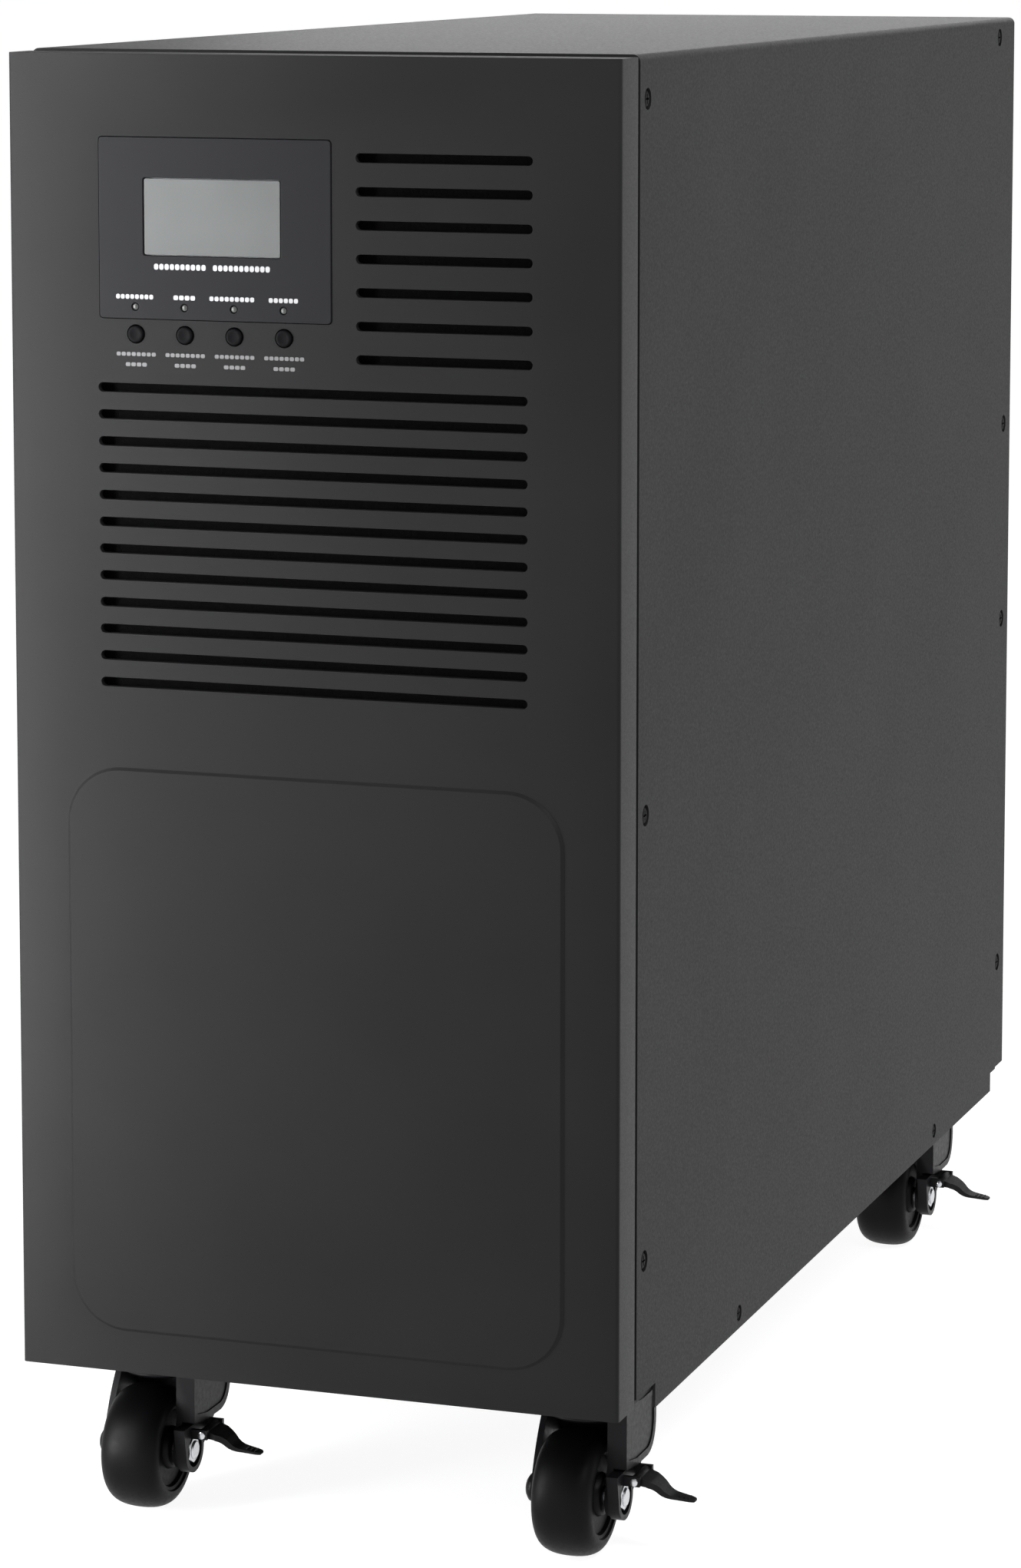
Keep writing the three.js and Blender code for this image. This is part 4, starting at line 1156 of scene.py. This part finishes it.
def caster_wheel_profile():
    """The wheel's section: hub, recessed web and rim, then the rounded tread."""
    side = [(AXLE_BORE, -12.3), (7.4, -12.3), (8.2, -11.7), (8.8, -9.8), (15.4, -9.8), (16.0, -11.2),
            (17.2, -11.5), (17.7, -12.4)]
    shoulder = 17.8
    fullness = 0.8
    crown = []
    for angle in range(8, 91, 8):
        across = math.cos(math.radians(angle)) ** fullness
        out = math.sin(math.radians(angle)) ** fullness
        crown.append((shoulder + 7.2 * out, -WHEEL_HALF * across))
    half = side + crown
    return half + [(radius, -height) for radius, height in reversed(half)]


def pedal_shape():
    """The foot lever, drawn round its pivot: a barrel, and a long curved blade with grip ridges."""
    tip = PEDAL_TIP
    under = [(0.4, -1.8)] + curve((4, -2.2), (6.8, -3), (8.6, -4.8), 6)
    under += curve((8.6, -4.8), (10.8, -7), (15, -7.2), 6)[1:] + [(tip - 0.4, -8.0), (tip, -7.7)]
    over = [(tip, -7.4), (tip - 0.4, -7.1)] + curve((15.4, -6.0), (12.4, -5.6), (10.6, -3.7), 6)
    over += curve((10.6, -3.7), (8.4, -0.9), (4.6, 0.1), 6)[1:] + [(0, 1.8)]
    blade = prism(under + over, "front", -PEDAL_HALF, PEDAL_HALF)
    half = [(-4, PEDAL_HALF), (5, PEDAL_HALF)] + curve((5, PEDAL_HALF), (9, 4), (tip - 3, 2.8), 8)[1:]
    half += curve((tip - 3, 2.8), (tip, 2.4), (tip, 0.4), 6)[1:]
    plan = [(x, -y) for x, y in half] + list(reversed(half))
    blade = common(blade, prism(plan, "plan", -20, 10))
    end = PEDAL_HALF
    barrel = turned([(0, -end), (2.0, -end), (2.2, -end + 0.3), (2.2, end - 0.3), (2.0, end), (0, end)],
                    "y", 28)
    grips = [block(16.4 + i * 1.8, 17.0 + i * 1.8, -2.2, 2.2, -7.5, -5.9 - i * 0.26) for i in range(3)]
    return fuse(blade, barrel, *grips)


def axle_shapes():
    """The flanged nut on the shank's right end, with the shank, and the domed head on the left."""
    nut = set_at(hex_head(5.6, 3.4, flange=6.4), "x", (LEG_OUTER + 0.3, *AXLE))
    end = LEG_OUTER + 4.5
    shank = turned([(0, -LEG_OUTER), (AXLE_RADIUS, -LEG_OUTER), (AXLE_RADIUS, end - 0.5), (3.2, end),
                    (0, end)], "x", 32, (0, *AXLE))
    dome = turned([(0, -0.2), (6, -0.2), (6, 0.8), (5.4, 2.2), (3.6, 3.4), (1.6, 3.9), (0, 4.0)],
                  "z", 36)
    return merged(nut, shank), set_at(dome, "-x", (-LEG_OUTER - 0.1, *AXLE))


def rivet_ends():
    """The two ends of the lever's pivot pin, one on each ear."""
    rivet = turned([(0, 0), (1.7, 0), (1.5, 0.5), (0.8, 0.8), (0, 0.9)], "z", 20)
    out = PEDAL_HALF + EAR_GAP + EAR
    return merged(set_at(rivet.copy(), "-y", (PIVOT.x, PIVOT.y - out, PIVOT.z)),
                  set_at(rivet, "y", (PIVOT.x, PIVOT.y + out, PIVOT.z)))


def make_caster(place):
    low, high = node_box(f"caster_plate_{place}")
    x = (low.x + high.x) / 2
    y = (low.y + high.y) / 2
    swivel = f"caster_{place}"

    def part(name, shape, material, slot, **options):
        piece(f"{name}_{place}", moved(shape, x, y), material, slot, **options)

    part("mount_plate", caster_plate(low.z, high.z), CASTER_PAINT, "caster_steel",
         replaces=[f"caster_plate_{place}"], bevel=0.3)
    part("mount_bolts", caster_bolts(high.z), ZINC, "caster_zinc")
    part("fork", caster_fork(), CASTER_PAINT, "caster_steel", body=swivel,
         replaces=[f"caster_fork_{place}"], bevel=0.35)
    part("roller", turned(caster_wheel_profile(), "x", 72, (0, *AXLE)), TREAD, "caster_tread",
         body=f"wheel_{place}", replaces=[f"caster_wheel_{place}"], smooth=40)
    nut, head = axle_shapes()
    part("axle_nut", nut, ZINC, "caster_zinc", body=swivel, replaces=[f"caster_axle_{place}"], smooth=30)
    part("axle_head", head, CASTER_PAINT, "caster_steel", body=swivel)
    part("foot_lever", moved(pedal_shape(), *PIVOT), PEDAL, "pedal_plastic",
         body=f"pedal_{place}", replaces=[f"brake_pedal_{place}"], bevel=0.2)
    part("lever_rivets", rivet_ends(), ZINC, "caster_zinc", body=swivel)


make_camera()
make_world()
make_floor()
make_lights()
make_bezel()
make_vent_shade_pads()
make_display()
make_legends()
make_buttons()
make_cover()
make_side_screws()
make_seam_shade_frame()
make_base()
make_rear_screws()
for side in ("left", "right"):
    make_fan(side)
make_slot_cover()
make_serial_port()
make_usb_port()
make_shutdown_plug()
make_battery_connector()
make_breaker()
make_terminal_cover()
make_rear_vent_shade()
make_earth_stud()
make_inside()
for place in PLACES:
    make_caster(place)
